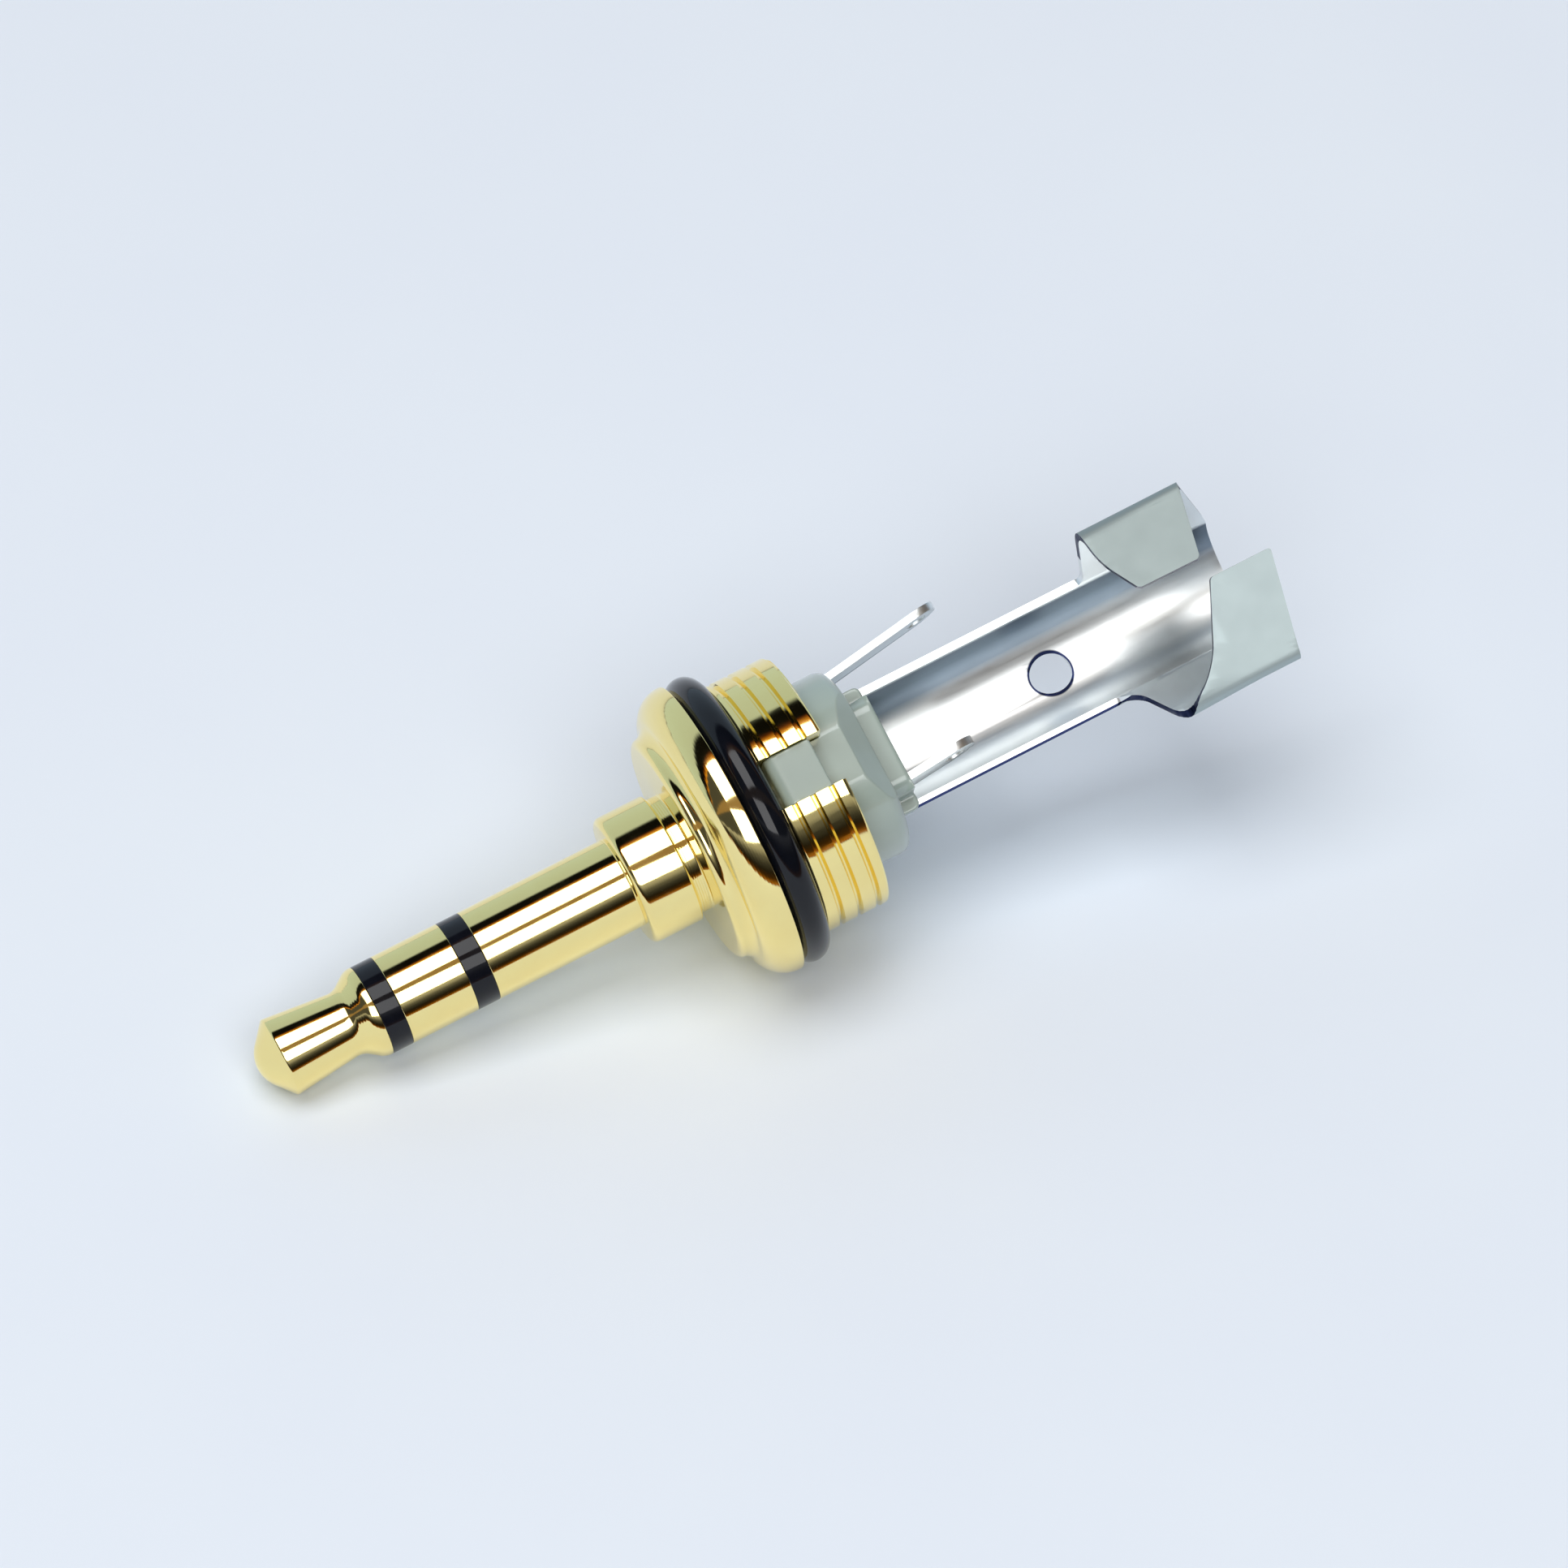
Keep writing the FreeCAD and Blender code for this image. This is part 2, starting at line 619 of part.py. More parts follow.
def trim_wing(wing, sign):
    """Gives a wing its slanted edges: the wall is cut from the side, below the fold, and
    the flap from above."""
    below_fold = f"Sizes.{wing}FoldHeight - Sizes.ClampSheet - Sizes.FoldRound"
    fold_start = f"Places.TroughEndX - Sizes.{wing}FoldStart"
    fold_end = f"Places.TroughEndX - Sizes.{wing}FoldEnd"
    wall_start = f"Places.TroughEndX - Sizes.{wing}WallStart"
    edge_start = f"Places.TroughEndX - Sizes.{wing}FlapEdgeStart"
    edge_end = f"Places.TroughEndX - Sizes.{wing}FlapEdgeEnd"
    beyond = "Places.TroughEndX + Sizes.TroughRadius"
    fold_out = f"{sign} * Sizes.{wing}FoldOut"
    edge_out = f"{sign} * Sizes.{wing}FlapEdgeOut"
    past_edge = (
        f"Sizes.ClampSheet / 2 / (Sizes.{wing}FoldOut - Sizes.{wing}FlapEdgeOut)"
    )
    clear_start = (
        f"{edge_start} + (Sizes.{wing}FoldStart - Sizes.{wing}FlapEdgeStart) * {past_edge}"
    )
    clear_end = f"{edge_end} + (Sizes.{wing}FoldEnd - Sizes.{wing}FlapEdgeEnd) * {past_edge}"
    clear_of_edge = f"{sign} * (Sizes.{wing}FlapEdgeOut - Sizes.ClampSheet / 2)"
    clear_of_fold = f"{sign} * (Sizes.{wing}FoldOut + Sizes.ClampSheet)"

    walls = {
        "WallFront": [
            (wall_start, "-Sizes.RimDrop"),
            (fold_start, below_fold),
            (wall_start + " - 1", below_fold),
            (wall_start + " - 1", "-Sizes.RimDrop"),
        ],
        "WallRear": [
            ("Places.TroughEndX", "-Sizes.RimDrop"),
            (beyond, "-Sizes.RimDrop"),
            (beyond, below_fold),
            (fold_end, below_fold),
        ],
    }
    for name, points in walls.items():
        sketch = start_sketch(ground_clamp, wing + name + "Outline", "XZ_Plane")
        add_outline(sketch, points)
        pocket(
            ground_clamp,
            wing + name,
            sketch,
            f"Sizes.{wing}FoldOut + 1",
            reversed_way=sign < 0,
        )

    flaps = {
        "FlapFront": [
            (fold_start, fold_out),
            (clear_start, clear_of_edge),
            (wall_start + " - 1", clear_of_edge),
            (wall_start + " - 1", clear_of_fold),
            (fold_start, clear_of_fold),
        ],
        "FlapRear": [
            (fold_end, fold_out),
            (clear_end, clear_of_edge),
            (beyond, clear_of_edge),
            (beyond, clear_of_fold),
            (fold_end, clear_of_fold),
        ],
    }
    for name, points in flaps.items():
        sketch = start_sketch(ground_clamp, wing + name + "Outline", "XY_Plane", below_fold)
        add_outline(sketch, points)
        pocket(ground_clamp, wing + name, sketch, "Sizes.ThreadRadius", reversed_way=True)
    corner_places = [
        (value_of(corner_x), value_of(edge_out)) for corner_x in (edge_start, edge_end)
    ]
    dress(
        ground_clamp,
        "Fillet",
        wing + "FlapCorners",
        lambda edge: is_sheet_corner(edge, corner_places),
        "Sizes.FlapCornerRound",
    )


add_wing("Far", 1)
add_wing("Near", -1)
trim_wing("Far", 1)
trim_wing("Near", -1)

inspection_sketch = start_sketch(ground_clamp, "InspectionHoleOutline", "XY_Plane")
add_circle(
    inspection_sketch,
    "Places.TroughX + Sizes.InspectionHolePlace",
    "0",
    "Sizes.InspectionHoleRadius",
)
pocket(ground_clamp, "InspectionHole", inspection_sketch, "Sizes.TroughRadius + 1")


def add_tail(body, name, points, side, end_x):
    """The tail of a solder lug, bent from flat strip, with a rounded end and a hole."""
    sketch = start_sketch(body, name + "Outline", "XY_Plane")
    inner_corners = add_strip(sketch, points, "Sizes.LugSheet", side)
    pad(body, name, sketch, "Sizes.LugWidth", midplane=True)
    first_bend = FreeCAD.Vector(value_of(points[1][0]), value_of(points[1][1]), 0)
    for bend, corner, radius in (
        ("Inner", inner_corners[0], "Sizes.LugBend"),
        ("Outer", first_bend, "Sizes.LugBend + Sizes.LugSheet"),
    ):
        dress(
            body,
            "Fillet",
            name + bend + "Bend",
            lambda edge: runs_along(edge, "z", x=corner.x, y=corner.y),
            radius,
        )
    half_width = "Sizes.LugWidth / 2"
    end_outline = start_sketch(body, name + "EndOutline", "XZ_Plane")
    add_outline(
        end_outline,
        [
            (f"{end_x} - {half_width}", half_width, half_width, "right"),
            (end_x, "0", half_width, "right"),
            (f"{end_x} - {half_width}", "-" + half_width),
            (f"{end_x} - {half_width}", "-Sizes.LugWidth"),
            (f"{end_x} + {half_width}", "-Sizes.LugWidth"),
            (f"{end_x} + {half_width}", "Sizes.LugWidth"),
            (f"{end_x} - {half_width}", "Sizes.LugWidth"),
        ],
    )
    pocket(body, name + "End", end_outline, "4 * Sizes.ThreadRadius", midplane=True)
    hole_outline = start_sketch(body, name + "HoleOutline", "XZ_Plane")
    add_circle(hole_outline, f"{end_x} - {half_width}", "0", "Sizes.LugHoleRadius")
    pocket(body, name + "Hole", hole_outline, "4 * Sizes.ThreadRadius", midplane=True)


# Ring solder lug: thin stamping pressed on the ring's tube inside the rear moulding.
# Its tail comes out through the moulding and leans away from the trough

ring_lug = doc.addObject("PartDesign::Body", "ring_lug")
add_tail(
    ring_lug,
    "RingLugTail",
    [
        ("Places.RingLugX", "Sizes.RingLugBaseRadius / 2"),
        ("Places.RingLugX", "Sizes.RingLugOffset"),
        ("Places.RearFaceX", "Sizes.RingLugOffset"),
        (
            "Places.RearFaceX + Sizes.RingLugReach",
            "Sizes.RingLugOffset + Sizes.RingLugSplay",
        ),
    ],
    "right",
    "Places.RearFaceX + Sizes.RingLugReach",
)
ring_base_sketch = start_sketch(ring_lug, "RingLugBaseOutline", "YZ_Plane", "Places.RingLugX")
add_circle(ring_base_sketch, "0", "0", "Sizes.RingLugBaseRadius")
pad(ring_lug, "RingLugBase", ring_base_sketch, "Sizes.LugSheet")
ring_bore_sketch = start_sketch(ring_lug, "RingLugBore", "YZ_Plane", "Places.RingLugX")
add_circle(ring_bore_sketch, "0", "0", "Places.RingTubeRadius")
pocket(
    ring_lug, "RingLugEye", ring_bore_sketch, "Sizes.LugSheet", reversed_way=True
)

# Tip solder lug: the rod's end is peened over its foot, which lies on the rear moulding,
# and its tail turns back inside the trough

tip_lug = doc.addObject("PartDesign::Body", "tip_lug")
add_tail(
    tip_lug,
    "TipLugTail",
    [
        ("Places.RearFaceX", "0"),
        ("Places.RearFaceX", "-Sizes.TipLugOffset"),
        ("Places.RearFaceX + Sizes.TipLugReach", "Sizes.TipLugCloses - Sizes.TipLugOffset"),
    ],
    "left",
    "Places.RearFaceX + Sizes.TipLugReach",
)
foot_sketch = start_sketch(tip_lug, "TipLugFootOutline", "YZ_Plane", "Places.RearFaceX")
add_circle(foot_sketch, "0", "0", "Sizes.RivetRadius + Sizes.RodRadius / 2")
pad(tip_lug, "TipLugFoot", foot_sketch, "Sizes.LugSheet")
tip_bore_sketch = start_sketch(tip_lug, "TipLugBore", "YZ_Plane", "Places.RearFaceX")
add_circle(tip_bore_sketch, "0", "0", "Sizes.RodRadius")
pocket(tip_lug, "TipLugEye", tip_bore_sketch, "Sizes.LugSheet", reversed_way=True)

# Rear insulator: pale moulding that closes the body. A flange with a flat in line with
# the slot, a spigot in the body's bore, and behind it a half cup open to the trough's side

rear_blank = doc.addObject("PartDesign::Body", "RearInsulatorBlank")
turn(
    rear_blank,
    "RearTurned",
    [
        ("Places.SeamX", "Places.RingTubeRadius"),
        ("Places.SeamX", "Sizes.TroughRadius"),
        ("Places.BodyEndX", "Sizes.TroughRadius"),
        ("Places.BodyEndX", "Sizes.RearFlangeRadius"),
        ("Places.RearFaceX - Sizes.RearFlangeChamfer", "Sizes.RearFlangeRadius"),
        ("Places.RearFaceX", "Sizes.RearFlangeRadius - Sizes.RearFlangeChamfer"),
        ("Places.RearFaceX", "Sizes.CupRadius"),
        ("Places.TroughX - Sizes.CupChamfer", "Sizes.CupRadius"),
        ("Places.TroughX", "Sizes.CupRadius - Sizes.CupChamfer"),
        ("Places.TroughX", "Sizes.CupRadius - Sizes.CupWall"),
        ("Places.RearFaceX", "Sizes.CupRadius - Sizes.CupWall"),
        ("Places.RearFaceX", "Sizes.RodRadius"),
        ("Places.TipTubeEndX", "Sizes.RodRadius"),
        ("Places.TipTubeEndX", "Places.TipTubeRadius"),
        ("Places.RingTubeEndX", "Places.TipTubeRadius"),
        ("Places.RingTubeEndX", "Places.RingTubeRadius"),
    ],
)
rear_key_sketch = start_sketch(rear_blank, "RearKeyOutline", "XZ_Plane")
add_outline(
    rear_key_sketch,
    [
        ("Places.SeamX", "Places.OuterTubeRadius"),
        ("Places.SeamX", "Sizes.RearFlatHeight"),
        ("Places.BodyEndX + Sizes.RearFlatLength", "Sizes.RearFlatHeight"),
        ("Places.BodyEndX + Sizes.RearFlatLength", "Places.OuterTubeRadius"),
    ],
)
rear_key = pad(rear_blank, "RearKey", rear_key_sketch, "Sizes.SlotWidth", midplane=True)
rear_keys = rear_blank.newObject("PartDesign::PolarPattern", "RearKeyPair")
rear_keys.Originals = [rear_key]
rear_axis = next(item for item in rear_blank.Origin.OriginFeatures if item.Role == "X_Axis")
rear_keys.Axis = (rear_axis, [""])
rear_keys.Occurrences = 2
rear_blank.Tip = rear_keys
doc.recompute()
flat_sketch = start_sketch(rear_blank, "RearFlatOutline", "XZ_Plane")
above = "Sizes.RearFlangeRadius + 1"
add_outline(
    flat_sketch,
    [
        ("Places.BodyEndX", "Sizes.RearFlatHeight"),
        ("Places.BodyEndX + Sizes.RearFlatLength", "Sizes.RearFlatHeight"),
        ("Places.RearFaceX", "Sizes.RearFlatHeight - Sizes.RearBevelDrop"),
        ("Places.RearFaceX", above),
        ("Places.BodyEndX", above),
    ],
)
pocket(rear_blank, "RearFlat", flat_sketch, "2 * Sizes.RearFlangeRadius", midplane=True)
cup_sketch = start_sketch(rear_blank, "CupOpening", "XZ_Plane")
add_outline(
    cup_sketch,
    [
        ("Places.RearFaceX", "Sizes.CupRimHeight"),
        ("Places.TroughX + 1", "Sizes.CupRimHeight"),
        ("Places.TroughX + 1", above),
        ("Places.RearFaceX", above),
    ],
)
pocket(rear_blank, "CupOpened", cup_sketch, "2 * Sizes.RearFlangeRadius", midplane=True)

bodies = [
    tip_contact,
    tip_insulator,
    ring_contact,
    ring_insulator,
    plug_body,
    o_ring,
    front_blank,
    ring_lug,
    tip_lug,
    rear_blank,
    ground_clamp,
]
for body in bodies:
    lay_down(body)
doc.recompute()

# The mouldings are shaped round the metal that passes through them


def cut_round(label, blank, metal):
    """The blank with the space of each metal piece taken out of it."""
    shaped = blank
    for index, tool in enumerate(metal):
        last = index == len(metal) - 1
        cut = doc.addObject("Part::Cut", label if last else f"{blank.Name}Round{tool.Name}")
        cut.Base = shaped
        cut.Tool = tool
        shaped = cut
    doc.recompute()
    return shaped


front_insulator = cut_round("front_insulator", front_blank, [ground_clamp])
rear_insulator = cut_round("rear_insulator", rear_blank, [ring_lug, ground_clamp])

pieces = [
    tip_contact,
    tip_insulator,
    ring_contact,
    ring_insulator,
    plug_body,
    o_ring,
    front_insulator,
    rear_insulator,
    ring_lug,
    tip_lug,
    ground_clamp,
]

# The middle of the resting plug's length is brought over the origin

spans = [piece.Shape.optimalBoundingBox(False, True) for piece in pieces]
middle = (min(span.XMin for span in spans) + max(span.XMax for span in spans)) / 2
places.set(places.getCellFromAlias("RestShift"), str(-middle))
doc.recompute()

for item in doc.Objects:
    if "Invalid" in item.State or "Error" in item.State:
        raise RuntimeError(f"{item.Name} failed: {item.State}")
for piece in pieces:
    if piece.Shape.isNull() or not piece.Shape.isValid():
        raise RuntimeError(f"{piece.Label} has no valid shape")
    if len(piece.Shape.Solids) != 1:
        raise RuntimeError(f"{piece.Label} is not one solid")
for piece in pieces:
    piece.Shape.exportStep(f"parts/{piece.Label}.step")
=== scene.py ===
import json
import math

import bmesh
import bpy
from mathutils import Matrix, Vector


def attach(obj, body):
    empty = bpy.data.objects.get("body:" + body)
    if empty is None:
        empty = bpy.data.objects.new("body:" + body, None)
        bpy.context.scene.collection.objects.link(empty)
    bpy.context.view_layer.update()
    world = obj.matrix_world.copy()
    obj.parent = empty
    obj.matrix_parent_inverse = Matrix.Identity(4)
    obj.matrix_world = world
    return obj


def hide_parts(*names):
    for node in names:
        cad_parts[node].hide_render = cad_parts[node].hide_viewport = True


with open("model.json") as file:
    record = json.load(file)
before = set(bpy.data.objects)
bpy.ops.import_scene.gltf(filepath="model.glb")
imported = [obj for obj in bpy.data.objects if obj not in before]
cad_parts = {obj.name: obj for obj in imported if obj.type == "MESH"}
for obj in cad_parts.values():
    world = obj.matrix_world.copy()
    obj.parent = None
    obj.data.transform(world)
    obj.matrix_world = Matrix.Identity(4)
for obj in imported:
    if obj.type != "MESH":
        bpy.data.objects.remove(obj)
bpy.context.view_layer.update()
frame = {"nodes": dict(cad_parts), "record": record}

# Where the plug lies -------------------------------------------------------------
# The plug rests on the edge of its nose and the rim of its flange, and its open side
# leans to the near side. Every piece is drawn in millimetres along the plug's own
# axis, from the tip of the nose, and then laid down by this place.

mounts = {mount["name"]: mount for mount in frame["record"]["mounts"]}
along = Vector(mounts["cover_thread"]["axis"]).normalized()
far_side = Vector(mounts["ring_lug_eye"]["axis"])
far_side = (far_side - along * far_side.dot(along)).normalized()
open_side = along.cross(far_side)
shaft_mount_from_nose = 0.0097
nose_point = Vector(mounts["plug_shaft"]["pos_m"]) - along * shaft_mount_from_nose
plug_axes = Matrix((along, far_side, open_side)).transposed().to_4x4()
plug_place = Matrix.Translation(nose_point) @ plug_axes @ Matrix.Scale(0.001, 4)


def finish_piece(name, mesh, material, node, smooth_under=35):
    """Lays a mesh drawn in millimetres down as the piece that stands for a CAD node."""
    mesh.transform(plug_place)
    mesh.shade_smooth()
    mesh.set_sharp_from_angle(angle=math.radians(smooth_under))
    piece = bpy.data.objects.new(name, mesh)
    bpy.context.scene.collection.objects.link(piece)
    if not mesh.materials:
        mesh.materials.append(material)
    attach(piece, "root")
    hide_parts(node)
    return piece


# Tip contact ---------------------------------------------------------------------
# The nose and waisted tip of the plug: brass turned in one piece with the rod that
# runs to the rear, where its end is peened over a solder lug. Hard gold plating.


def draw(bm, corners):
    """Draws the outline of a turned piece from (x, radius) corners, or (x, radius,
    round) where the corner is rounded off by that much."""
    verts = [bm.verts.new((corner[0], corner[1], 0)) for corner in corners]
    for first, second in zip(verts, verts[1:]):
        bm.edges.new((first, second))
    for vert, corner in zip(verts, corners):
        if len(corner) == 3:
            bmesh.ops.bevel(
                bm,
                geom=[vert],
                offset=corner[2],
                segments=6,
                profile=0.5,
                affect="VERTICES",
                material=-1,
            )


def turn(bm, steps=160):
    """Spins the outline in a bmesh once round the plug's axis."""
    bmesh.ops.spin(
        bm,
        geom=bm.verts[:] + bm.edges[:],
        cent=(0, 0, 0),
        axis=(1, 0, 0),
        angle=math.tau,
        steps=steps,
        use_merge=True,
    )
    bmesh.ops.remove_doubles(bm, verts=bm.verts[:], dist=1e-4)
    bmesh.ops.recalc_face_normals(bm, faces=bm.faces[:])


def vert_at(bm, x, radius):
    """The corner of an outline that lies at that place."""
    return next(v for v in bm.verts if (v.co - Vector((x, radius, 0))).length < 1e-6)


def mesh_of(bm, name):
    """The finished bmesh as mesh data."""
    mesh = bpy.data.meshes.new(name)
    bm.to_mesh(mesh)
    bm.free()
    return mesh


def linear(hex_colour):
    """An sRGB hex colour as linear RGBA."""
    channels = [int(hex_colour[i : i + 2], 16) / 255 for i in (1, 3, 5)]
    return [
        c / 12.92 if c <= 0.04045 else ((c + 0.055) / 1.055) ** 2.4 for c in channels
    ] + [1]


def add_node(tree, kind, settings=None, links=None):
    """Adds a node with its settings, by property name or by input name or number, and
    its links, from input name or number to output socket."""
    node = tree.nodes.new(kind)
    for name, value in (settings or {}).items():
        if isinstance(name, int) or name in node.inputs:
            node.inputs[name].default_value = value
        else:
            setattr(node, name, value)
    for name, source in (links or {}).items():
        tree.links.new(source, node.inputs[name])
    return node


def new_finish(name):
    """An empty material, its node tree, and coordinates in millimetres along the
    plug's own axis."""
    material = bpy.data.materials.new(name)
    material.use_nodes = True
    tree = material.node_tree
    tree.nodes.clear()
    place = add_node(tree, "ShaderNodeTexCoord").outputs["Object"]
    back = plug_place.inverted()
    mapping = add_node(
        tree,
        "ShaderNodeMapping",
        {"Location": back.translation, "Rotation": plug_axes.inverted().to_euler(),
         "Scale": (1000, 1000, 1000)},
        {"Vector": place},
    )
    return material, tree, mapping.outputs["Vector"]


# Hard gold over nickel on turned brass: a mirror to the eye, pale lemon where it sees
# the white floor and orange where it turns from dark to light. Very fine tool rings
# run round it, really about 0.02 mm apart and drawn at 0.09 mm so that they show.
gold_plate, tree, place = new_finish("hard_gold_plate_on_turned_brass")
tool_rings = add_node(
    tree,
    "ShaderNodeTexWave",
    {"wave_type": "BANDS", "bands_direction": "X", "Scale": 3.4, "Distortion": 0.6,
     "Detail": 2.0, "Detail Scale": 2.0},
    {"Vector": place},
)
handling = add_node(
    tree, "ShaderNodeTexNoise", {"Scale": 0.9, "Detail": 4.0, "Roughness": 0.6}, {"Vector": place}
)
polish = add_node(
    tree,
    "ShaderNodeMapRange",
    {"From Min": 0.35, "From Max": 0.7, "To Min": 0.05, "To Max": 0.1},
    {"Value": handling.outputs["Fac"]},
)
plating_tone = add_node(
    tree,
    "ShaderNodeMix",
    {"data_type": "RGBA", 6: linear("#FEEDA4"), 7: linear("#FAE49A")},
    {0: handling.outputs["Fac"]},
)
ring_relief = add_node(
    tree,
    "ShaderNodeBump",
    {"Strength": 0.05, "Distance": 0.00001},
    {"Height": tool_rings.outputs["Fac"]},
)
shine = add_node(
    tree,
    "ShaderNodeBsdfPrincipled",
    {"Metallic": 1.0},
    {
        "Base Color": plating_tone.outputs[2],
        "Roughness": polish.outputs["Result"],
        "Normal": ring_relief.outputs["Normal"],
    },
)
add_node(tree, "ShaderNodeOutputMaterial", links={"Surface": shine.outputs["BSDF"]})

edge_break = 0.03
nose_length = 0.9
nose_radius = 1.53
nose_slope = math.radians(50)
nose_flank = 0.93
point_x = nose_length - nose_flank * math.cos(nose_slope)
point_radius = nose_radius - nose_flank * math.sin(nose_slope)
nose_ball = point_radius / math.cos(nose_slope)
ball_x = point_x + nose_ball * math.sin(nose_slope)
neck_x = 3.7
neck_radius = 1.235
shoulder_x = 4.4
tip_end_x = 4.68
shaft_radius = 1.75
rod_radius = 0.6
rivet_x = 25.38
rivet_radius = 0.95
rivet_height = 0.25
bm = bmesh.new()
draw(
    bm,
    [
        (point_x, point_radius),
        (nose_length, nose_radius, 0.05),
        (neck_x, neck_radius, 0.22),
        (shoulder_x, shaft_radius, 0.2),
        (tip_end_x, shaft_radius, edge_break),
        (tip_end_x, rod_radius),
        (rivet_x, rod_radius),
        (rivet_x, rivet_radius, 0.05),
        (rivet_x + 0.14, rivet_radius - 0.07, 0.08),
        (rivet_x + rivet_height, rod_radius, 0.08),
        (rivet_x + rivet_height, 0),
    ],
)
# The round point joins on where the flank ends
bmesh.ops.spin(
    bm,
    geom=[vert_at(bm, point_x, point_radius)],
    cent=(ball_x, 0, 0),
    axis=(0, 0, 1),
    angle=math.pi / 2 - nose_slope,
    steps=14,
)
turn(bm)
finish_piece(
    "tip_contact_turned", mesh_of(bm, "tip_contact_turned"), gold_plate, "tip_contact"
)

# Tip insulator -------------------------------------------------------------------
# The black ring between tip and ring contacts, moulded with a thin tube round the rod.
# Glossy black plastic, ground flush with the shaft.

# Polished black nylon: deep blue-black with sharp grey-blue reflections of the lamps,
# and a faint unevenness left by grinding it flush with the metal.
black_plastic, tree, place = new_finish("polished_black_nylon")
flow = add_node(tree, "ShaderNodeTexNoise", {"Scale": 2.2, "Detail": 3.0}, {"Vector": place})
polish = add_node(
    tree,
    "ShaderNodeMapRange",
    {"From Min": 0.3, "From Max": 0.7, "To Min": 0.05, "To Max": 0.1},
    {"Value": flow.outputs["Fac"]},
)
tone = add_node(
    tree,
    "ShaderNodeMix",
    {"data_type": "RGBA", 6: linear("#0B0C12"), 7: linear("#14161E")},
    {0: flow.outputs["Fac"]},
)
unevenness = add_node(
    tree, "ShaderNodeBump", {"Strength": 0.06, "Distance": 0.00002}, {"Height": flow.outputs["Fac"]}
)
shine = add_node(
    tree,
    "ShaderNodeBsdfPrincipled",
    {"IOR": 1.5, "Specular IOR Level": 0.3},
    {
        "Base Color": tone.outputs[2],
        "Roughness": polish.outputs["Result"],
        "Normal": unevenness.outputs["Normal"],
    },
)
add_node(tree, "ShaderNodeOutputMaterial", links={"Surface": shine.outputs["BSDF"]})

ring_x = 5.5
tip_tube_radius = 0.82
tip_tube_end = 24.5
bm = bmesh.new()
draw(
    bm,
    [
        (tip_end_x, rod_radius),
        (tip_end_x, shaft_radius, edge_break),
        (ring_x, shaft_radius, edge_break),
        (ring_x, tip_tube_radius),
        (tip_tube_end, tip_tube_radius),
        (tip_tube_end, rod_radius),
        (tip_end_x, rod_radius),
    ],
)
turn(bm)
finish_piece(
    "tip_insulator_moulded",
    mesh_of(bm, "tip_insulator_moulded"),
    black_plastic,
    "tip_insulator",
)

# Ring contact --------------------------------------------------------------------
# The gold band between the two black rings, turned in one piece with the tube that
# carries its signal to the rear.

ring_insulator_x = 8.18
ring_tube_radius = 1.1
ring_tube_end = 24.2
bm = bmesh.new()
draw(
    bm,
    [
        (ring_x, tip_tube_radius),
        (ring_x, shaft_radius, edge_break),
        (ring_insulator_x, shaft_radius, edge_break),
        (ring_insulator_x, ring_tube_radius),
        (ring_tube_end, ring_tube_radius),
        (ring_tube_end, tip_tube_radius),
        (ring_x, tip_tube_radius),
    ],
)
turn(bm)
finish_piece(
    "ring_contact_turned",
    mesh_of(bm, "ring_contact_turned"),
    gold_plate,
    "ring_contact",
)

# Ring insulator ------------------------------------------------------------------
# The second black ring, between the ring contact and the sleeve, with its own tube.

sleeve_x = 9.06
bore_x = 20.3
outer_tube_radius = 1.35
bm = bmesh.new()
draw(
    bm,
    [
        (ring_insulator_x, ring_tube_radius),
        (ring_insulator_x, shaft_radius, edge_break),
        (sleeve_x, shaft_radius, edge_break),
        (sleeve_x, outer_tube_radius),
        (bore_x, outer_tube_radius),
        (bore_x, ring_tube_radius),
        (ring_insulator_x, ring_tube_radius),
    ],
)
turn(bm)
finish_piece(
    "ring_insulator_moulded",
    mesh_of(bm, "ring_insulator_moulded"),
    black_plastic,
    "ring_insulator",
)

# Plug body -----------------------------------------------------------------------
# Sleeve, collar, domed flange, seal groove and cover thread: one gold-plated brass
# turning. The thread is a right-hand M10 x 0.75 cut with broad lands, and a 2 mm
# slot is milled across it for the keys of the pale moulding.

collar_x = 15.0
collar_radius = 2.52
relief_x = 17.0
relief_radius = 2.3
flange_x = 17.54
flange_edge_x = 18.09
rim_radius = 5.75
flange_edge_radius = 4.46
rim_round = rim_radius - flange_edge_radius
rim_x = flange_edge_x + rim_round
groove_x = 19.46
seal_section = 1.3
groove_radius = rim_radius - seal_section
thread_x = 20.76
thread_radius = 5.0
thread_pitch = 0.75
thread_turns = 5
body_end_x = 23.4
bore_radius = 2.47
slot_width = 2.0
round_steps = 192
dome_lead = math.radians(22)
dome_start = (
    rim_x - rim_round * math.cos(dome_lead),
    flange_edge_radius + rim_round * math.sin(dome_lead),
)
bm = bmesh.new()
draw(
    bm,
    [
        dome_start,
        (flange_edge_x + 0.02, flange_edge_radius + 0.04, 0.32),
        (flange_x + 0.12, 4.4, 0.1),
        (flange_x, 4.2, 0.1),
        (flange_x, relief_radius, 0.08),
        (relief_x, relief_radius, 0.05),
        (relief_x, collar_radius, 0.06),
        (collar_x, collar_radius, 0.26),
        (collar_x, shaft_radius, 0.05),
        (sleeve_x, shaft_radius, edge_break),
        (sleeve_x, outer_tube_radius),
        (bore_x, outer_tube_radius),
        (bore_x, bore_radius),
        (body_end_x, bore_radius, 0.1),
        (body_end_x, thread_radius, 0.16),
        (thread_x, thread_radius, 0.16),
        (thread_x, groove_radius, 0.08),
        (groove_x, groove_radius, 0.08),
        (groove_x, rim_radius, 0.05),
        (rim_x, rim_radius),
    ],
)
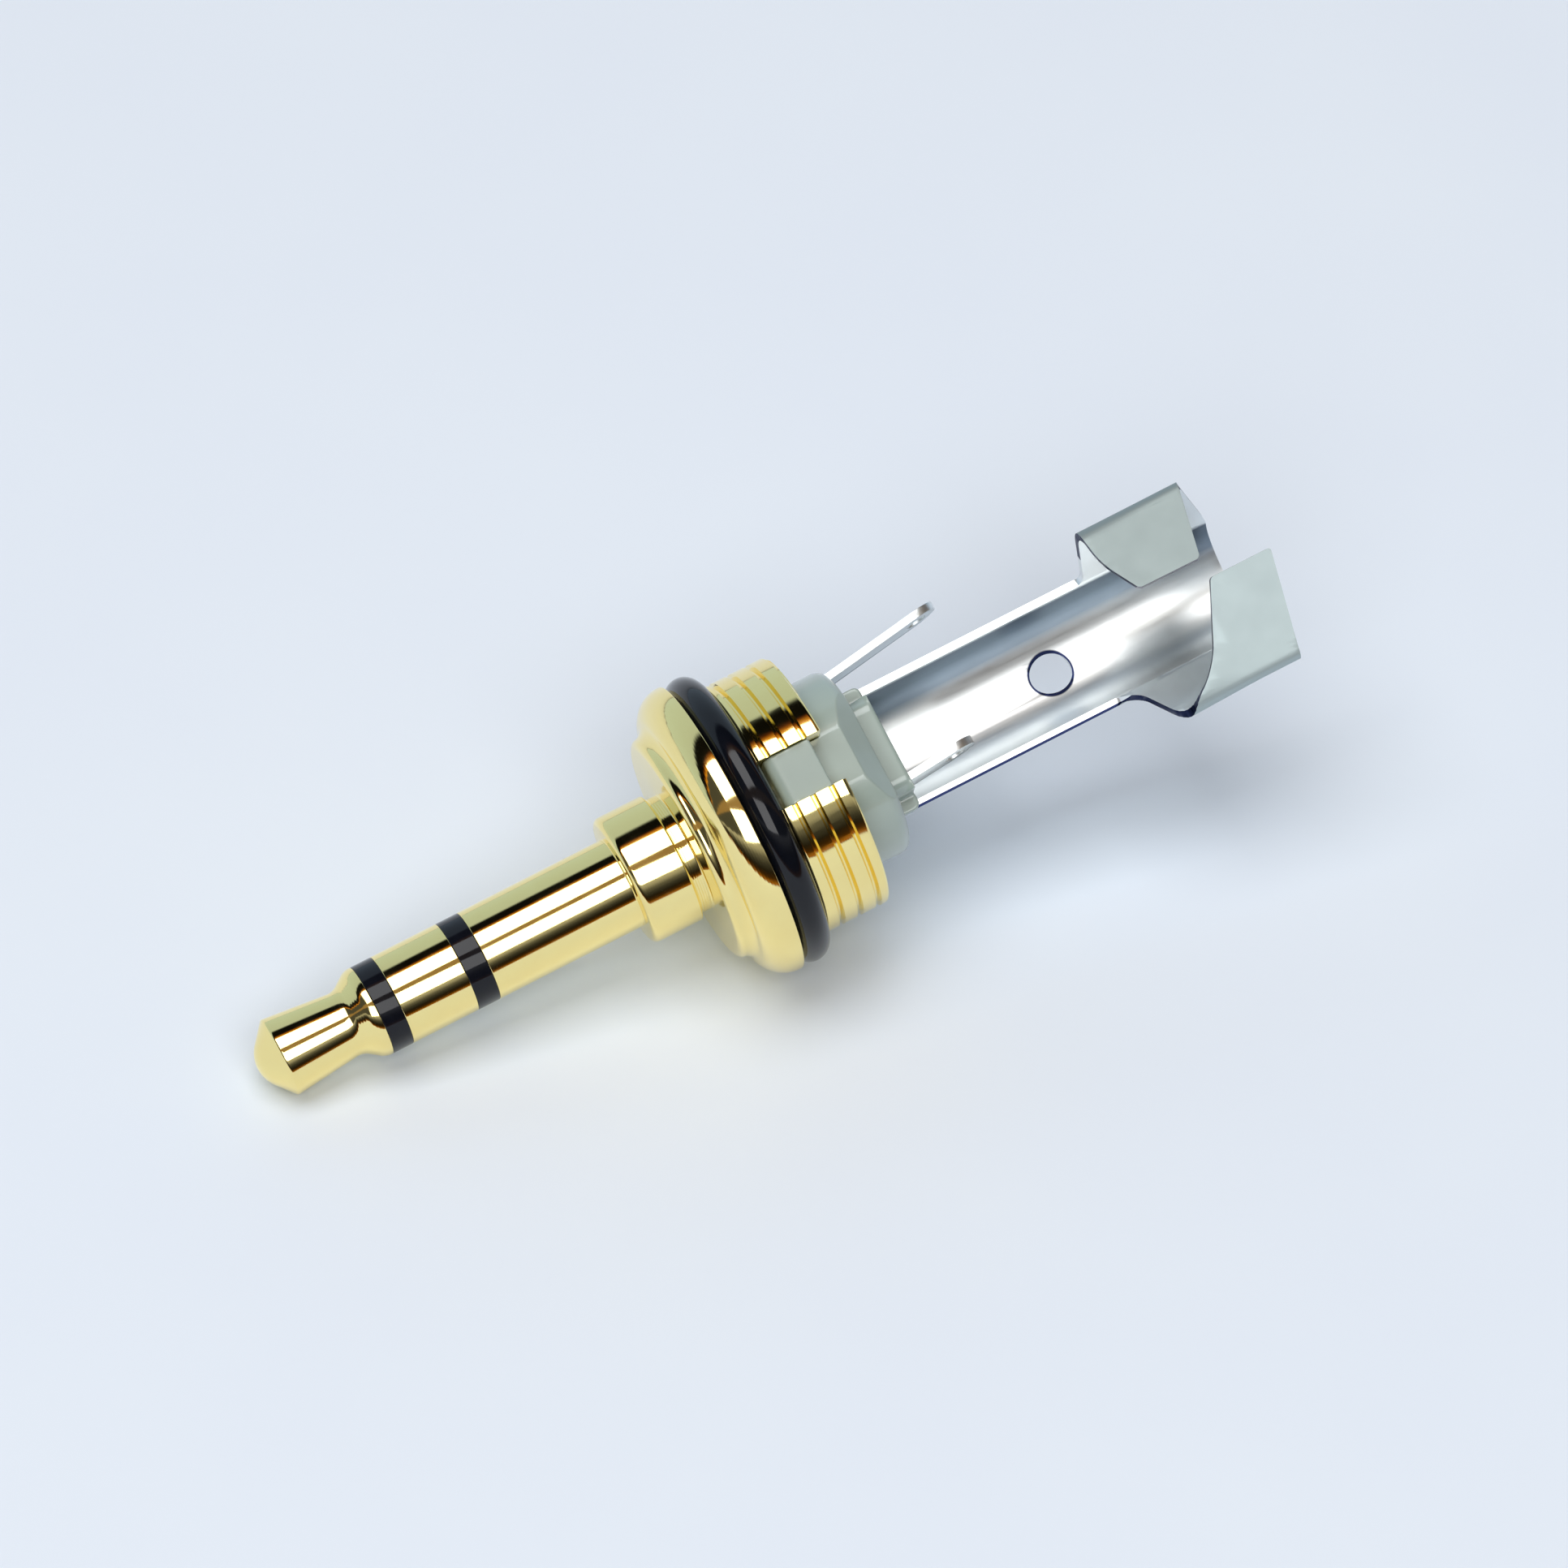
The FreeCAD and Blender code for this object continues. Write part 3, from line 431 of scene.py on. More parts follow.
bmesh.ops.spin(
    bm,
    geom=[vert_at(bm, *dome_start)],
    cent=(rim_x, flange_edge_radius, 0),
    axis=(0, 0, 1),
    angle=dome_lead - math.pi / 2,
    steps=20,
)
bmesh.ops.remove_doubles(bm, verts=bm.verts[:], dist=1e-4)
turn(bm, round_steps)


def tool(bm, name):
    """A bmesh as an object that a modifier can work on or use."""
    thing = bpy.data.objects.new(name, mesh_of(bm, name))
    bpy.context.scene.collection.objects.link(thing)
    return thing


def shaped_by(bm, name, operation="UNION"):
    """The step that joins a bmesh to the blank as a tool, or cuts it away."""
    return ("BOOLEAN", {"operation": operation, "solver": "EXACT", "object": tool(bm, name)})


body_blank = tool(bm, "body_blank")

# The thread's groove, a V with a narrow floor that runs out at both ends
steps_per_turn = 96
floor_half, floor_radius = 0.03, 4.8
mouth_half, mouth_radius = 0.17, 5.12
run_in_x = thread_x - 0.45
groove_section = (
    (-floor_half, floor_radius),
    (floor_half, floor_radius),
    (mouth_half, mouth_radius),
    (-mouth_half, mouth_radius),
)
thread_cutter = bmesh.new()
thread_cutter.faces.new([thread_cutter.verts.new((x, radius, 0)) for x, radius in groove_section])
bmesh.ops.translate(thread_cutter, verts=thread_cutter.verts[:], vec=(run_in_x, 0, 0))
bmesh.ops.spin(
    thread_cutter,
    geom=thread_cutter.verts[:] + thread_cutter.edges[:] + thread_cutter.faces[:],
    cent=(0, 0, 0),
    axis=(1, 0, 0),
    dvec=(thread_pitch / steps_per_turn, 0, 0),
    angle=math.tau * thread_turns,
    steps=steps_per_turn * thread_turns,
)
bmesh.ops.recalc_face_normals(thread_cutter, faces=thread_cutter.faces[:])

# The slot is milled right across, so one cutter makes both of its sides
slot_x = thread_x + 0.02
slot_length = 4
slot_depth = 2 * thread_radius + 2
slot_cutter = bmesh.new()
bmesh.ops.create_cube(slot_cutter, size=1)
bmesh.ops.scale(
    slot_cutter, verts=slot_cutter.verts[:], vec=(slot_length, slot_width, slot_depth)
)
bmesh.ops.translate(
    slot_cutter, verts=slot_cutter.verts[:], vec=(slot_x + slot_length / 2, 0, 0)
)


def worked(blank, name, modifiers):
    """The blank's mesh after its modifiers, each (kind, settings); blank and tools go."""
    tools = set()
    for kind, settings in modifiers:
        modifier = blank.modifiers.new(kind.lower(), kind)
        for key, value in settings.items():
            setattr(modifier, key, value)
            if key == "object":
                tools.add(value)
    bpy.context.view_layer.update()
    graph = bpy.context.evaluated_depsgraph_get()
    mesh = bpy.data.meshes.new_from_object(blank.evaluated_get(graph))
    mesh.name = name
    for thing in [blank, *tools]:
        bpy.data.objects.remove(thing)
    return mesh


body_mesh = worked(
    body_blank,
    "plug_body_turned",
    [
        shaped_by(thread_cutter, "thread_cutter", "DIFFERENCE"),
        shaped_by(slot_cutter, "slot_cutter", "DIFFERENCE"),
    ],
)
finish_piece("plug_body_turned", body_mesh, gold_plate, "plug_body")

# Sealing ring --------------------------------------------------------------------
# A round cord ring of black rubber, 1.3 mm thick, sprung into the groove behind the
# flange. It seals and locks the cover.

# Moulded nitrile rubber: black with a slight blue, wet-looking where it curves to the
# lamps, and softer in its gloss than the plastic rings.
black_rubber, tree, place = new_finish("moulded_nitrile_rubber")
bloom = add_node(tree, "ShaderNodeTexNoise", {"Scale": 1.6, "Detail": 4.0}, {"Vector": place})
gloss = add_node(
    tree,
    "ShaderNodeMapRange",
    {"From Min": 0.35, "From Max": 0.7, "To Min": 0.07, "To Max": 0.13},
    {"Value": bloom.outputs["Fac"]},
)
tone = add_node(
    tree,
    "ShaderNodeMix",
    {"data_type": "RGBA", 6: linear("#07080D"), 7: linear("#10131B")},
    {0: bloom.outputs["Fac"]},
)
skin = add_node(
    tree,
    "ShaderNodeBump",
    {"Strength": 0.08, "Distance": 0.00002},
    {"Height": bloom.outputs["Fac"]},
)
shine = add_node(
    tree,
    "ShaderNodeBsdfPrincipled",
    {"IOR": 1.5, "Specular IOR Level": 0.35},
    {
        "Base Color": tone.outputs[2],
        "Roughness": gloss.outputs["Result"],
        "Normal": skin.outputs["Normal"],
    },
)
add_node(tree, "ShaderNodeOutputMaterial", links={"Surface": shine.outputs["BSDF"]})

cord_radius = seal_section / 2
bm = bmesh.new()
bmesh.ops.create_circle(bm, segments=48, radius=cord_radius)
cord_middle = (groove_x + cord_radius, groove_radius + cord_radius, 0)
bmesh.ops.translate(bm, verts=bm.verts[:], vec=cord_middle)
turn(bm, round_steps)
finish_piece(
    "o_ring_rubber", mesh_of(bm, "o_ring_rubber"), black_rubber, "o_ring", 60
)

# Front insulator -----------------------------------------------------------------
# The pale core in the body's bore. A key on each side fills the slot across the
# thread, and its front edge is well rounded so that the cover starts easily.

# Moulded nylon in pale grey-green: satin, slightly milky, with bright glints only on
# its rounded edges.
pale_plastic, tree, place = new_finish("moulded_pale_nylon")
melt = add_node(
    tree, "ShaderNodeTexNoise", {"Scale": 0.8, "Detail": 5.0, "Roughness": 0.55}, {"Vector": place}
)
tone = add_node(
    tree,
    "ShaderNodeMix",
    {"data_type": "RGBA", 6: linear("#9BAAA3"), 7: linear("#A5B4AE")},
    {0: melt.outputs["Fac"]},
)
grain = add_node(tree, "ShaderNodeTexNoise", {"Scale": 14.0, "Detail": 2.0}, {"Vector": place})
tooled = add_node(
    tree,
    "ShaderNodeBump",
    {"Strength": 0.05, "Distance": 0.00001},
    {"Height": grain.outputs["Fac"]},
)
shine = add_node(
    tree,
    "ShaderNodeBsdfPrincipled",
    {"IOR": 1.53, "Roughness": 0.3, "Specular IOR Level": 0.5, "Subsurface Weight": 0.15,
     "Subsurface Radius": (1.0, 1.0, 0.9), "Subsurface Scale": 0.0004,
     "Coat Weight": 0.7, "Coat IOR": 1.6, "Coat Roughness": 0.1},
    {"Base Color": tone.outputs[2], "Normal": tooled.outputs["Normal"]},
)
add_node(tree, "ShaderNodeOutputMaterial", links={"Surface": shine.outputs["BSDF"]})

clearance = 0.01
key_x = 21.01
key_root = 1.4
key_height = 4.6
key_round = 0.5
seam_x = 22.9


def block(low, high, rounds=()):
    """A closed block between two corners. rounds gives (test of an edge's middle,
    radius) for the edges that are rounded."""
    bm = bmesh.new()
    bmesh.ops.create_cube(bm, size=1)
    size = [b - a for a, b in zip(low, high)]
    middle = [(a + b) / 2 for a, b in zip(low, high)]
    bmesh.ops.scale(bm, verts=bm.verts[:], vec=size)
    bmesh.ops.translate(bm, verts=bm.verts[:], vec=middle)
    for picked, radius in rounds:
        chosen = [e for e in bm.edges if picked((e.verts[0].co + e.verts[1].co) / 2)]
        bmesh.ops.bevel(
            bm,
            geom=chosen,
            offset=radius,
            segments=8,
            profile=0.5,
            affect="EDGES",
            material=-1,
        )
    return bm


bm = bmesh.new()
draw(
    bm,
    [
        (bore_x + clearance, ring_tube_radius + clearance),
        (bore_x + clearance, bore_radius - clearance),
        (seam_x - clearance, bore_radius - clearance),
        (seam_x - clearance, ring_tube_radius + clearance),
        (bore_x + clearance, ring_tube_radius + clearance),
    ],
)
turn(bm, 96)
front_core = tool(bm, "front_core")
modifiers = []
for half_turn in (0, math.pi):
    key = block(
        (key_x, -slot_width / 2 + clearance, key_root),
        (seam_x - clearance, slot_width / 2 - clearance, key_height),
        [(lambda m: abs(m.x - key_x) < 0.01 and abs(m.z - key_height) < 0.01, key_round)],
    )
    bmesh.ops.rotate(
        key, verts=key.verts[:], cent=(0, 0, 0), matrix=Matrix.Rotation(half_turn, 3, "X")
    )
    modifiers.append(shaped_by(key, "key"))
modifiers.append(("REMESH", {"mode": "VOXEL", "voxel_size": 0.05}))
modifiers.append(("SMOOTH", {"factor": 0.5, "iterations": 4}))
front_mesh = worked(front_core, "front_insulator_moulded", modifiers)
finish_piece(
    "front_insulator_moulded", front_mesh, pale_plastic, "front_insulator", 180
)

# Rear insulator ------------------------------------------------------------------
# The pale moulding that closes the body: a flange with a flat and a bevel in line with
# the slot, a spigot and keys into the body, and behind it a half cup open to the
# trough's side. A low block covers the rod's peened end. Same nylon as the core.

rear_face_x = 25.08
trough_x = 26.0
rear_flange_radius = 3.66
flat_height = 3.52
cup_radius = 2.52
cup_inside = 1.95
cup_rim_height = 0.2
cover_height = 1.36
past = 4  # how far the cutters reach to the sides, well past the moulding
bm = bmesh.new()
draw(
    bm,
    [
        (seam_x + clearance, ring_tube_radius + clearance),
        (seam_x + clearance, bore_radius - clearance),
        (body_end_x + clearance, bore_radius - clearance),
        (body_end_x + clearance, rear_flange_radius, 0.05),
        (rear_face_x, rear_flange_radius, 0.45),
        (rear_face_x, cup_radius, 0.1),
        (trough_x, cup_radius, 0.25),
        (trough_x, cup_inside, 0.1),
        (rear_face_x, cup_inside),
        (rear_face_x, rod_radius + clearance),
        (seam_x + clearance, rod_radius + clearance),
        (seam_x + clearance, ring_tube_radius + clearance),
    ],
)
turn(bm, 128)
rear_blank = tool(bm, "rear_blank")
rear_key = block(
    (seam_x + clearance, -slot_width / 2 + clearance, -flat_height),
    (body_end_x + 0.5, slot_width / 2 - clearance, flat_height),
)
cup_opening = block((rear_face_x, -past, cup_rim_height), (trough_x + 1, past, 5))
bevel_cut = block((-2, -past, 0), (2, past, 2))
bmesh.ops.rotate(
    bevel_cut,
    verts=bevel_cut.verts[:],
    cent=(0, 0, 0),
    matrix=Matrix.Rotation(math.atan2(0.9, 0.83), 3, "Y"),
)
bmesh.ops.translate(
    bevel_cut, verts=bevel_cut.verts[:], vec=(body_end_x + 0.85, 0, flat_height)
)
above_flat = block((body_end_x - 0.01, -past, flat_height), (rear_face_x + 0.5, past, 5))
rod_cover = block(
    (rear_face_x - 0.3, -cup_inside, -1.7),
    (trough_x - 0.02, cup_inside, cover_height),
    [
        (lambda m: m.z > cover_height - 0.01 and m.x > trough_x - 0.03, 0.14),
        (lambda m: m.z > cover_height - 0.06 and abs(m.y) > cup_inside - 0.05, 0.6),
    ],
)
rod_hole = bmesh.new()
draw(
    rod_hole,
    [
        (seam_x - 1, 0),
        (seam_x - 1, rod_radius + clearance),
        (rear_face_x + 1, rod_radius + clearance),
        (rear_face_x + 1, 0),
    ],
)
turn(rod_hole, 48)
rear_mesh = worked(
    rear_blank,
    "rear_insulator_moulded",
    [
        shaped_by(rear_key, "rear_key"),
        shaped_by(cup_opening, "cup_opening", "DIFFERENCE"),
        shaped_by(above_flat, "above_flat", "DIFFERENCE"),
        shaped_by(bevel_cut, "bevel_cut", "DIFFERENCE"),
        shaped_by(rod_hole, "rod_hole", "DIFFERENCE"),
        shaped_by(rod_cover, "rod_cover"),
        ("REMESH", {"mode": "VOXEL", "voxel_size": 0.044}),
        ("SMOOTH", {"factor": 0.5, "iterations": 3}),
    ],
)
finish_piece(
    "rear_insulator_moulded", rear_mesh, pale_plastic, "rear_insulator", 180
)

# Ground clamp --------------------------------------------------------------------
# One stamping of 0.3 mm tinned brass: a flat blank is cut, its middle is pressed into
# a half-round cable trough, and the two staggered wings at its rear are folded up and
# back over the trough. A tongue at the front makes the earth contact in the bore.

# Bright tin on the pressed inside of the sheet: nearly white, softly blurred along the
# trough, with fine rolling lines really 0.01 mm apart and drawn at 0.07 mm. A blue-grey
# band of painted reflection darkens the far wall below its rim, and a thin dark line of
# painted shade is drawn round the hole.
hole_x = 32.85
hole_radius = 0.8
hole_shade_inside = hole_radius + 0.05
hole_shade_outside = hole_radius + 0.1
# Tones by degrees round the trough's section from its bottom; the blue-grey band on the far wall is
# painted reflection of the dark room.
wall_tones_painted_reflection = (
    (28, "#EDF0F0"),
    (42, "#8A97A4"),
    (60, "#66737F"),
    (76, "#5F6C7A"),
    (81, "#E2E8EA"),
)
bright_tin, tree, place = new_finish("bright_tinned_brass_sheet")
lines = add_node(tree, "ShaderNodeMapping", {"Scale": (0.6, 14, 14)}, {"Vector": place})
rolling = add_node(
    tree, "ShaderNodeTexNoise", {"Scale": 1.0, "Detail": 3.0}, {"Vector": lines.outputs["Vector"]}
)
brush = add_node(
    tree,
    "ShaderNodeMapRange",
    {"From Min": 0.3, "From Max": 0.7, "To Min": 0.32, "To Max": 0.4},
    {"Value": rolling.outputs["Fac"]},
)
spot = add_node(tree, "ShaderNodeSeparateXYZ", links={"Vector": place})
below = add_node(
    tree, "ShaderNodeMath", {"operation": "MULTIPLY", 1: -1}, {0: spot.outputs["Z"]}
)
round_section = add_node(
    tree,
    "ShaderNodeMath",
    {"operation": "ARCTAN2"},
    {0: spot.outputs["Y"], 1: below.outputs["Value"]},
)
share = add_node(
    tree,
    "ShaderNodeMapRange",
    {"From Min": 0.0, "From Max": math.pi, "To Min": 0.0, "To Max": 1.0},
    {"Value": round_section.outputs["Value"]},
)
# Painted reflection: this ramp darkens the far wall by the angle round the section.
tone = add_node(tree, "ShaderNodeValToRGB", links={"Fac": share.outputs["Result"]})
for angle, shade in wall_tones_painted_reflection:
    tone.color_ramp.elements.new(angle / 180).color = linear(shade)
tone.color_ramp.elements[0].color = linear("#EDF0F0")
tone.color_ramp.elements[-1].color = linear("#E8ECEC")
from_above = add_node(
    tree, "ShaderNodeCombineXYZ", links={"X": spot.outputs["X"], "Y": spot.outputs["Y"]}
)
from_hole = add_node(
    tree,
    "ShaderNodeVectorMath",
    {"operation": "DISTANCE", 1: (hole_x, 0, 0)},
    {0: from_above.outputs["Vector"]},
)
# Painted shade: a thin dark ring drawn on the sheet just outside the hole's edge.
hole_painted_shade = add_node(
    tree,
    "ShaderNodeMapRange",
    {"From Min": hole_shade_inside, "From Max": hole_shade_outside, "To Min": 1.0, "To Max": 0.0},
    {"Value": from_hole.outputs["Value"]},
)
with_hole_painted_shade = add_node(
    tree,
    "ShaderNodeMix",
    {"data_type": "RGBA", 7: linear("#232B4C")},
    {0: hole_painted_shade.outputs["Result"], 6: tone.outputs["Color"]},
)
relief = add_node(
    tree,
    "ShaderNodeBump",
    {"Strength": 0.02, "Distance": 0.00001},
    {"Height": rolling.outputs["Fac"]},
)
shine = add_node(
    tree,
    "ShaderNodeBsdfPrincipled",
    {"Metallic": 1.0},
    {
        "Base Color": with_hole_painted_shade.outputs[2],
        "Roughness": brush.outputs["Result"],
        "Normal": relief.outputs["Normal"],
    },
)
add_node(tree, "ShaderNodeOutputMaterial", links={"Surface": shine.outputs["BSDF"]})

# Matt tin on the outside of the sheet, which slid over the press tool: an even, dull
# grey-green that shows no reflections, as the top faces of the folded wings do. Its far
# side is painted darker, as painted shade for the far wing's tilt to the light.
matt_tin, tree, place = new_finish("matt_tinned_brass_sheet")
drag = add_node(tree, "ShaderNodeTexNoise", {"Scale": 1.1, "Detail": 5.0}, {"Vector": place})
dull = add_node(
    tree,
    "ShaderNodeMapRange",
    {"From Min": 0.3, "From Max": 0.7, "To Min": 0.5, "To Max": 0.55},
    {"Value": drag.outputs["Fac"]},
)
side = add_node(tree, "ShaderNodeSeparateXYZ", links={"Vector": place})
# Painted shade: the sheet is coloured darker towards its far side.
far_side_painted_shade = add_node(
    tree,
    "ShaderNodeMapRange",
    {"From Min": -0.3, "From Max": 0.9, "To Min": 0.0, "To Max": 1.0},
    {"Value": side.outputs["Y"]},
)
tone = add_node(
    tree,
    "ShaderNodeMix",
    {"data_type": "RGBA", 6: linear("#ADBBBD"), 7: linear("#97A3A3")},
    {0: far_side_painted_shade.outputs["Result"]},
)
relief = add_node(
    tree, "ShaderNodeBump", {"Strength": 0.02, "Distance": 0.00001}, {"Height": drag.outputs["Fac"]}
)
shine = add_node(
    tree,
    "ShaderNodeBsdfPrincipled",
    {"Metallic": 0.7},
    {
        "Base Color": tone.outputs[2],
        "Roughness": dull.outputs["Result"],
        "Normal": relief.outputs["Normal"],
    },
)
add_node(tree, "ShaderNodeOutputMaterial", links={"Surface": shine.outputs["BSDF"]})

sheet = 0.3
trough_middle = bore_radius - sheet / 2
trough_end = 40.3
wings_start = trough_end - 4.9
rim_drop = 0.3
rim_angle = math.acos(rim_drop / trough_middle)
rim_out = trough_middle * math.sin(rim_angle)

# Sheared edges of the sheet, where the press cut through the tin: thin dark lines of painted
# reflection round the flaps and outside the near rim; the trough's inner rims stay bright tin.
cut_edge_painted_reflection, tree, place = new_finish("sheared_edge_painted_reflection")
side = add_node(tree, "ShaderNodeSeparateXYZ", links={"Vector": place})
inner_rim = add_node(
    tree,
    "ShaderNodeMath",
    {"operation": "GREATER_THAN", 1: -rim_out - 0.05},
    {0: side.outputs["Y"]},
)
before_wings = add_node(
    tree, "ShaderNodeMath", {"operation": "LESS_THAN", 1: wings_start}, {0: side.outputs["X"]}
)
left_bright = add_node(
    tree,
    "ShaderNodeMath",
    {"operation": "MULTIPLY"},
    {0: inner_rim.outputs[0], 1: before_wings.outputs[0]},
)
# Painted reflection: dark navy on the sheet's edges, plain bright tin on the trough's inner rim
# before the wings.
tone = add_node(
    tree,
    "ShaderNodeMix",
    {"data_type": "RGBA", 6: linear("#232B4C"), 7: linear("#EDF0F0")},
    {0: left_bright.outputs[0]},
)
shine = add_node(
    tree,
    "ShaderNodeBsdfPrincipled",
    {"Metallic": 1.0, "Roughness": 0.35},
    {"Base Color": tone.outputs[2]},
)
add_node(tree, "ShaderNodeOutputMaterial", links={"Surface": shine.outputs["BSDF"]})

arc_steps = 24


def cross_section(side, fold, flap_edge, fold_round):
    """Half of the clamp's section as a wire in the middle of the sheet: from the
    trough's bottom up to its rim, out along the wall, and back over at the fold. It
    gives the points and how far along the sheet each one lies from the bottom."""
    bm = bmesh.new()
    bottom = bm.verts.new((0, 0, -trough_middle))
    arc = bmesh.ops.spin(
        bm, geom=[bottom], cent=(0, 0, 0), axis=(1, 0, 0), angle=side * rim_angle, steps=arc_steps
    )
    rim = arc["geom_last"][0]
    fold_corner = bm.verts.new((0, side * fold[0], fold[1]))
    flap_corner = bm.verts.new((0, side * flap_edge[0], flap_edge[1]))
    bm.edges.new((rim, fold_corner))
    bm.edges.new((fold_corner, flap_corner))
    bmesh.ops.bevel(
        bm,
        geom=[fold_corner],
        offset=fold_round,
        segments=10,
        profile=0.5,
        affect="VERTICES",
        material=-1,
    )
    bm.verts.ensure_lookup_table()
    here = next(v for v in bm.verts if v.co.z < -trough_middle + 1e-6)
    points = [here.co.copy()]
    reach = [0.0]
    seen = {here}
    while True:
        onward = [e.other_vert(here) for e in here.link_edges if e.other_vert(here) not in seen]
        if not onward:
            break
        here = onward[0]
        seen.add(here)
        reach.append(reach[-1] + (here.co - points[-1]).length)
        points.append(here.co.copy())
    bm.free()
    return points, reach


# Both wings are folded round a fuller radius at their front end than at their rear
far_front = cross_section(1, (3.98, 1.76), (0.7, 1.94), 1.0)
far_rear = cross_section(1, (3.74, 1.69), (0.7, 1.94), 0.5)
near_front = cross_section(-1, (4.95, 1.45), (0.12, 2.135), 1.6)
near_rear = cross_section(-1, (4.31, 1.47), (0.12, 2.135), 0.57)
rim_reach = far_rear[1][arc_steps]
far_edge = far_rear[1][-1]
near_edge = near_rear[1][-1]
far_flap = 2.75
near_flap = 3.95
far_fold = far_edge - far_flap
near_fold = near_edge - near_flap
tongue_x = trough_x - 3.6
tongue_edge = -0.9

# The flat blank, cut before it is formed: across is how far a place lies from the
# middle line, to the far side
bm = bmesh.new()
outline = [
    (trough_x, rim_reach, 0),
    (trough_end - 5.05, rim_reach, 0.3),
    (trough_end - 4.7, far_fold, 0.5),
    (trough_end - 4.5, far_edge - 1.45, 0.5),
    (trough_end - 3.7, far_edge, 0.15),
    (trough_end - 1.2, far_edge, 0.15),
    (trough_end - 0.62, far_fold, 0.3),
    (trough_end, rim_reach, 0.3),
    (trough_end, -rim_reach, 0.3),
    (trough_end + 0.45, -near_fold, 0.4),
    (trough_end + 1.24, -near_edge, 0.15),
    (trough_end - 1.25, -near_edge, 0.12),
    (trough_end - 2.6, 2.9 - near_edge, 0.8),
    (trough_end - 4.15, -near_fold, 0.9),
    (trough_end - 5.33, -rim_reach, 0.7),
    (tongue_x, -rim_reach, 0),
    (tongue_x, tongue_edge, 0.1),
    (trough_x, tongue_edge, 0.1),
]
corners = [bm.verts.new((x, across, 0)) for x, across, _ in outline]
for first, second in zip(corners, corners[1:] + corners[:1]):
    bm.edges.new((first, second))
for vert, (_, _, radius) in zip(corners, outline):
    if radius:
        bmesh.ops.bevel(
            bm,
            geom=[vert],
            offset=radius,
            segments=8,
            profile=0.5,
            affect="VERTICES",
            material=-1,
        )
hole = bmesh.ops.create_circle(bm, segments=48, radius=hole_radius)
bmesh.ops.translate(bm, verts=hole["verts"], vec=(hole_x, 0, 0))
bmesh.ops.triangle_fill(bm, use_beauty=True, edges=bm.edges[:], normal=(0, 0, 1))

# Lines along the sheet where it bends, and lines across the wings, where the folds
# change from full to tight
past_rim = arc_steps + 1
bend_lines = [0.0, *far_rear[1][1:-1], *far_front[1][past_rim:-1]]
bend_lines += [-reach for reach in near_rear[1][1:-1] + near_front[1][past_rim:-1]]
cuts = [((0, reach, 0), (0, 1, 0)) for reach in bend_lines]
cuts += [((trough_end - 6.2 + 0.45 * step, 0, 0), (1, 0, 0)) for step in range(16)]
for place_on_cut, across_cut in cuts:
    bmesh.ops.bisect_plane(
        bm,
        geom=bm.verts[:] + bm.edges[:] + bm.faces[:],
        dist=1e-5,
        plane_co=place_on_cut,
        plane_no=across_cut,
    )


def on_section(section, reach):
    """The place on a section at that reach from its bottom."""
    points, reaches = section
    way = min(reach, reaches[-1])
    for index in range(len(reaches) - 1):
        if way <= reaches[index + 1] + 1e-9:
            share = (way - reaches[index]) / (reaches[index + 1] - reaches[index])
            return points[index].lerp(points[index + 1], share)
    return points[-1]


full_until = 4.4  # the folds are full up to here, from the trough's end
turns_tight_in = 3.2
for vert in bm.verts:
    front, rear = (far_front, far_rear) if vert.co.y >= 0 else (near_front, near_rear)
    to_rear = min(max((vert.co.x - trough_end + full_until) / turns_tight_in, 0), 1)
    reach = abs(vert.co.y)
    formed = on_section(front, reach).lerp(on_section(rear, reach), to_rear)
    vert.co = (vert.co.x, formed.y, formed.z)
bmesh.ops.remove_doubles(bm, verts=bm.verts[:], dist=0.01)
bmesh.ops.recalc_face_normals(bm, faces=bm.faces[:])

# The side that the press tool wiped bright faces into the trough
trough_floor = Vector((29, 0, -trough_middle))
floor_face = min(bm.faces, key=lambda f: (f.calc_center_median() - trough_floor).length)
if floor_face.normal.z < 0:
    bmesh.ops.reverse_faces(bm, faces=bm.faces[:])
clamp_blank = tool(bm, "clamp_blank")
for finish in (bright_tin, matt_tin, cut_edge_painted_reflection):
    clamp_blank.data.materials.append(finish)
clamp_mesh = worked(
    clamp_blank,
    "ground_clamp_formed",
    [
        (
            "SOLIDIFY",
            {"thickness": sheet, "offset": 0, "use_even_offset": False, "material_offset": 1,
             "material_offset_rim": 2},
        ),
        (
            "BEVEL",
            {"width": 0.11, "segments": 4, "limit_method": "ANGLE",
             "angle_limit": math.radians(50)},
        ),
    ],
)
clamp = finish_piece(
    "ground_clamp_formed", clamp_mesh, bright_tin, "ground_clamp", 40
)
flat_faces = clamp.modifiers.new("flat_faces_lead", "WEIGHTED_NORMAL")
flat_faces.keep_sharp = True

# Ring solder lug -----------------------------------------------------------------
# A thin tinned stamping pressed on the ring's tube inside the rear moulding. Its tail
# leaves the moulding on the far side and leans away from the trough, and ends in an
# eye for the wire.

ring_lug = frame["nodes"]["ring_lug"]
ring_lug.data.materials.clear()
ring_lug.data.materials.append(bright_tin)


def round_edges(lug):
    """Tumbles the sharp edges of a stamped lug round, with modifiers over its CAD mesh."""
    joined = lug.modifiers.new("joined", "WELD")
    joined.merge_threshold = 0.000001
    flat = lug.modifiers.new("flat_faces", "DECIMATE")
    flat.decimate_type = "DISSOLVE"
    flat.angle_limit = math.radians(2)
    tumbled = lug.modifiers.new("tumbled", "BEVEL")
    tumbled.width = 0.00008
    tumbled.segments = 4
    tumbled.limit_method = "ANGLE"
    tumbled.angle_limit = math.radians(35)
    shading = lug.modifiers.new("flat_faces_lead", "WEIGHTED_NORMAL")
    shading.keep_sharp = True


round_edges(ring_lug)

# Tip solder lug ------------------------------------------------------------------
# A small L-shaped lug under the peened end of the rod. Its tail turns back inside the
# trough.

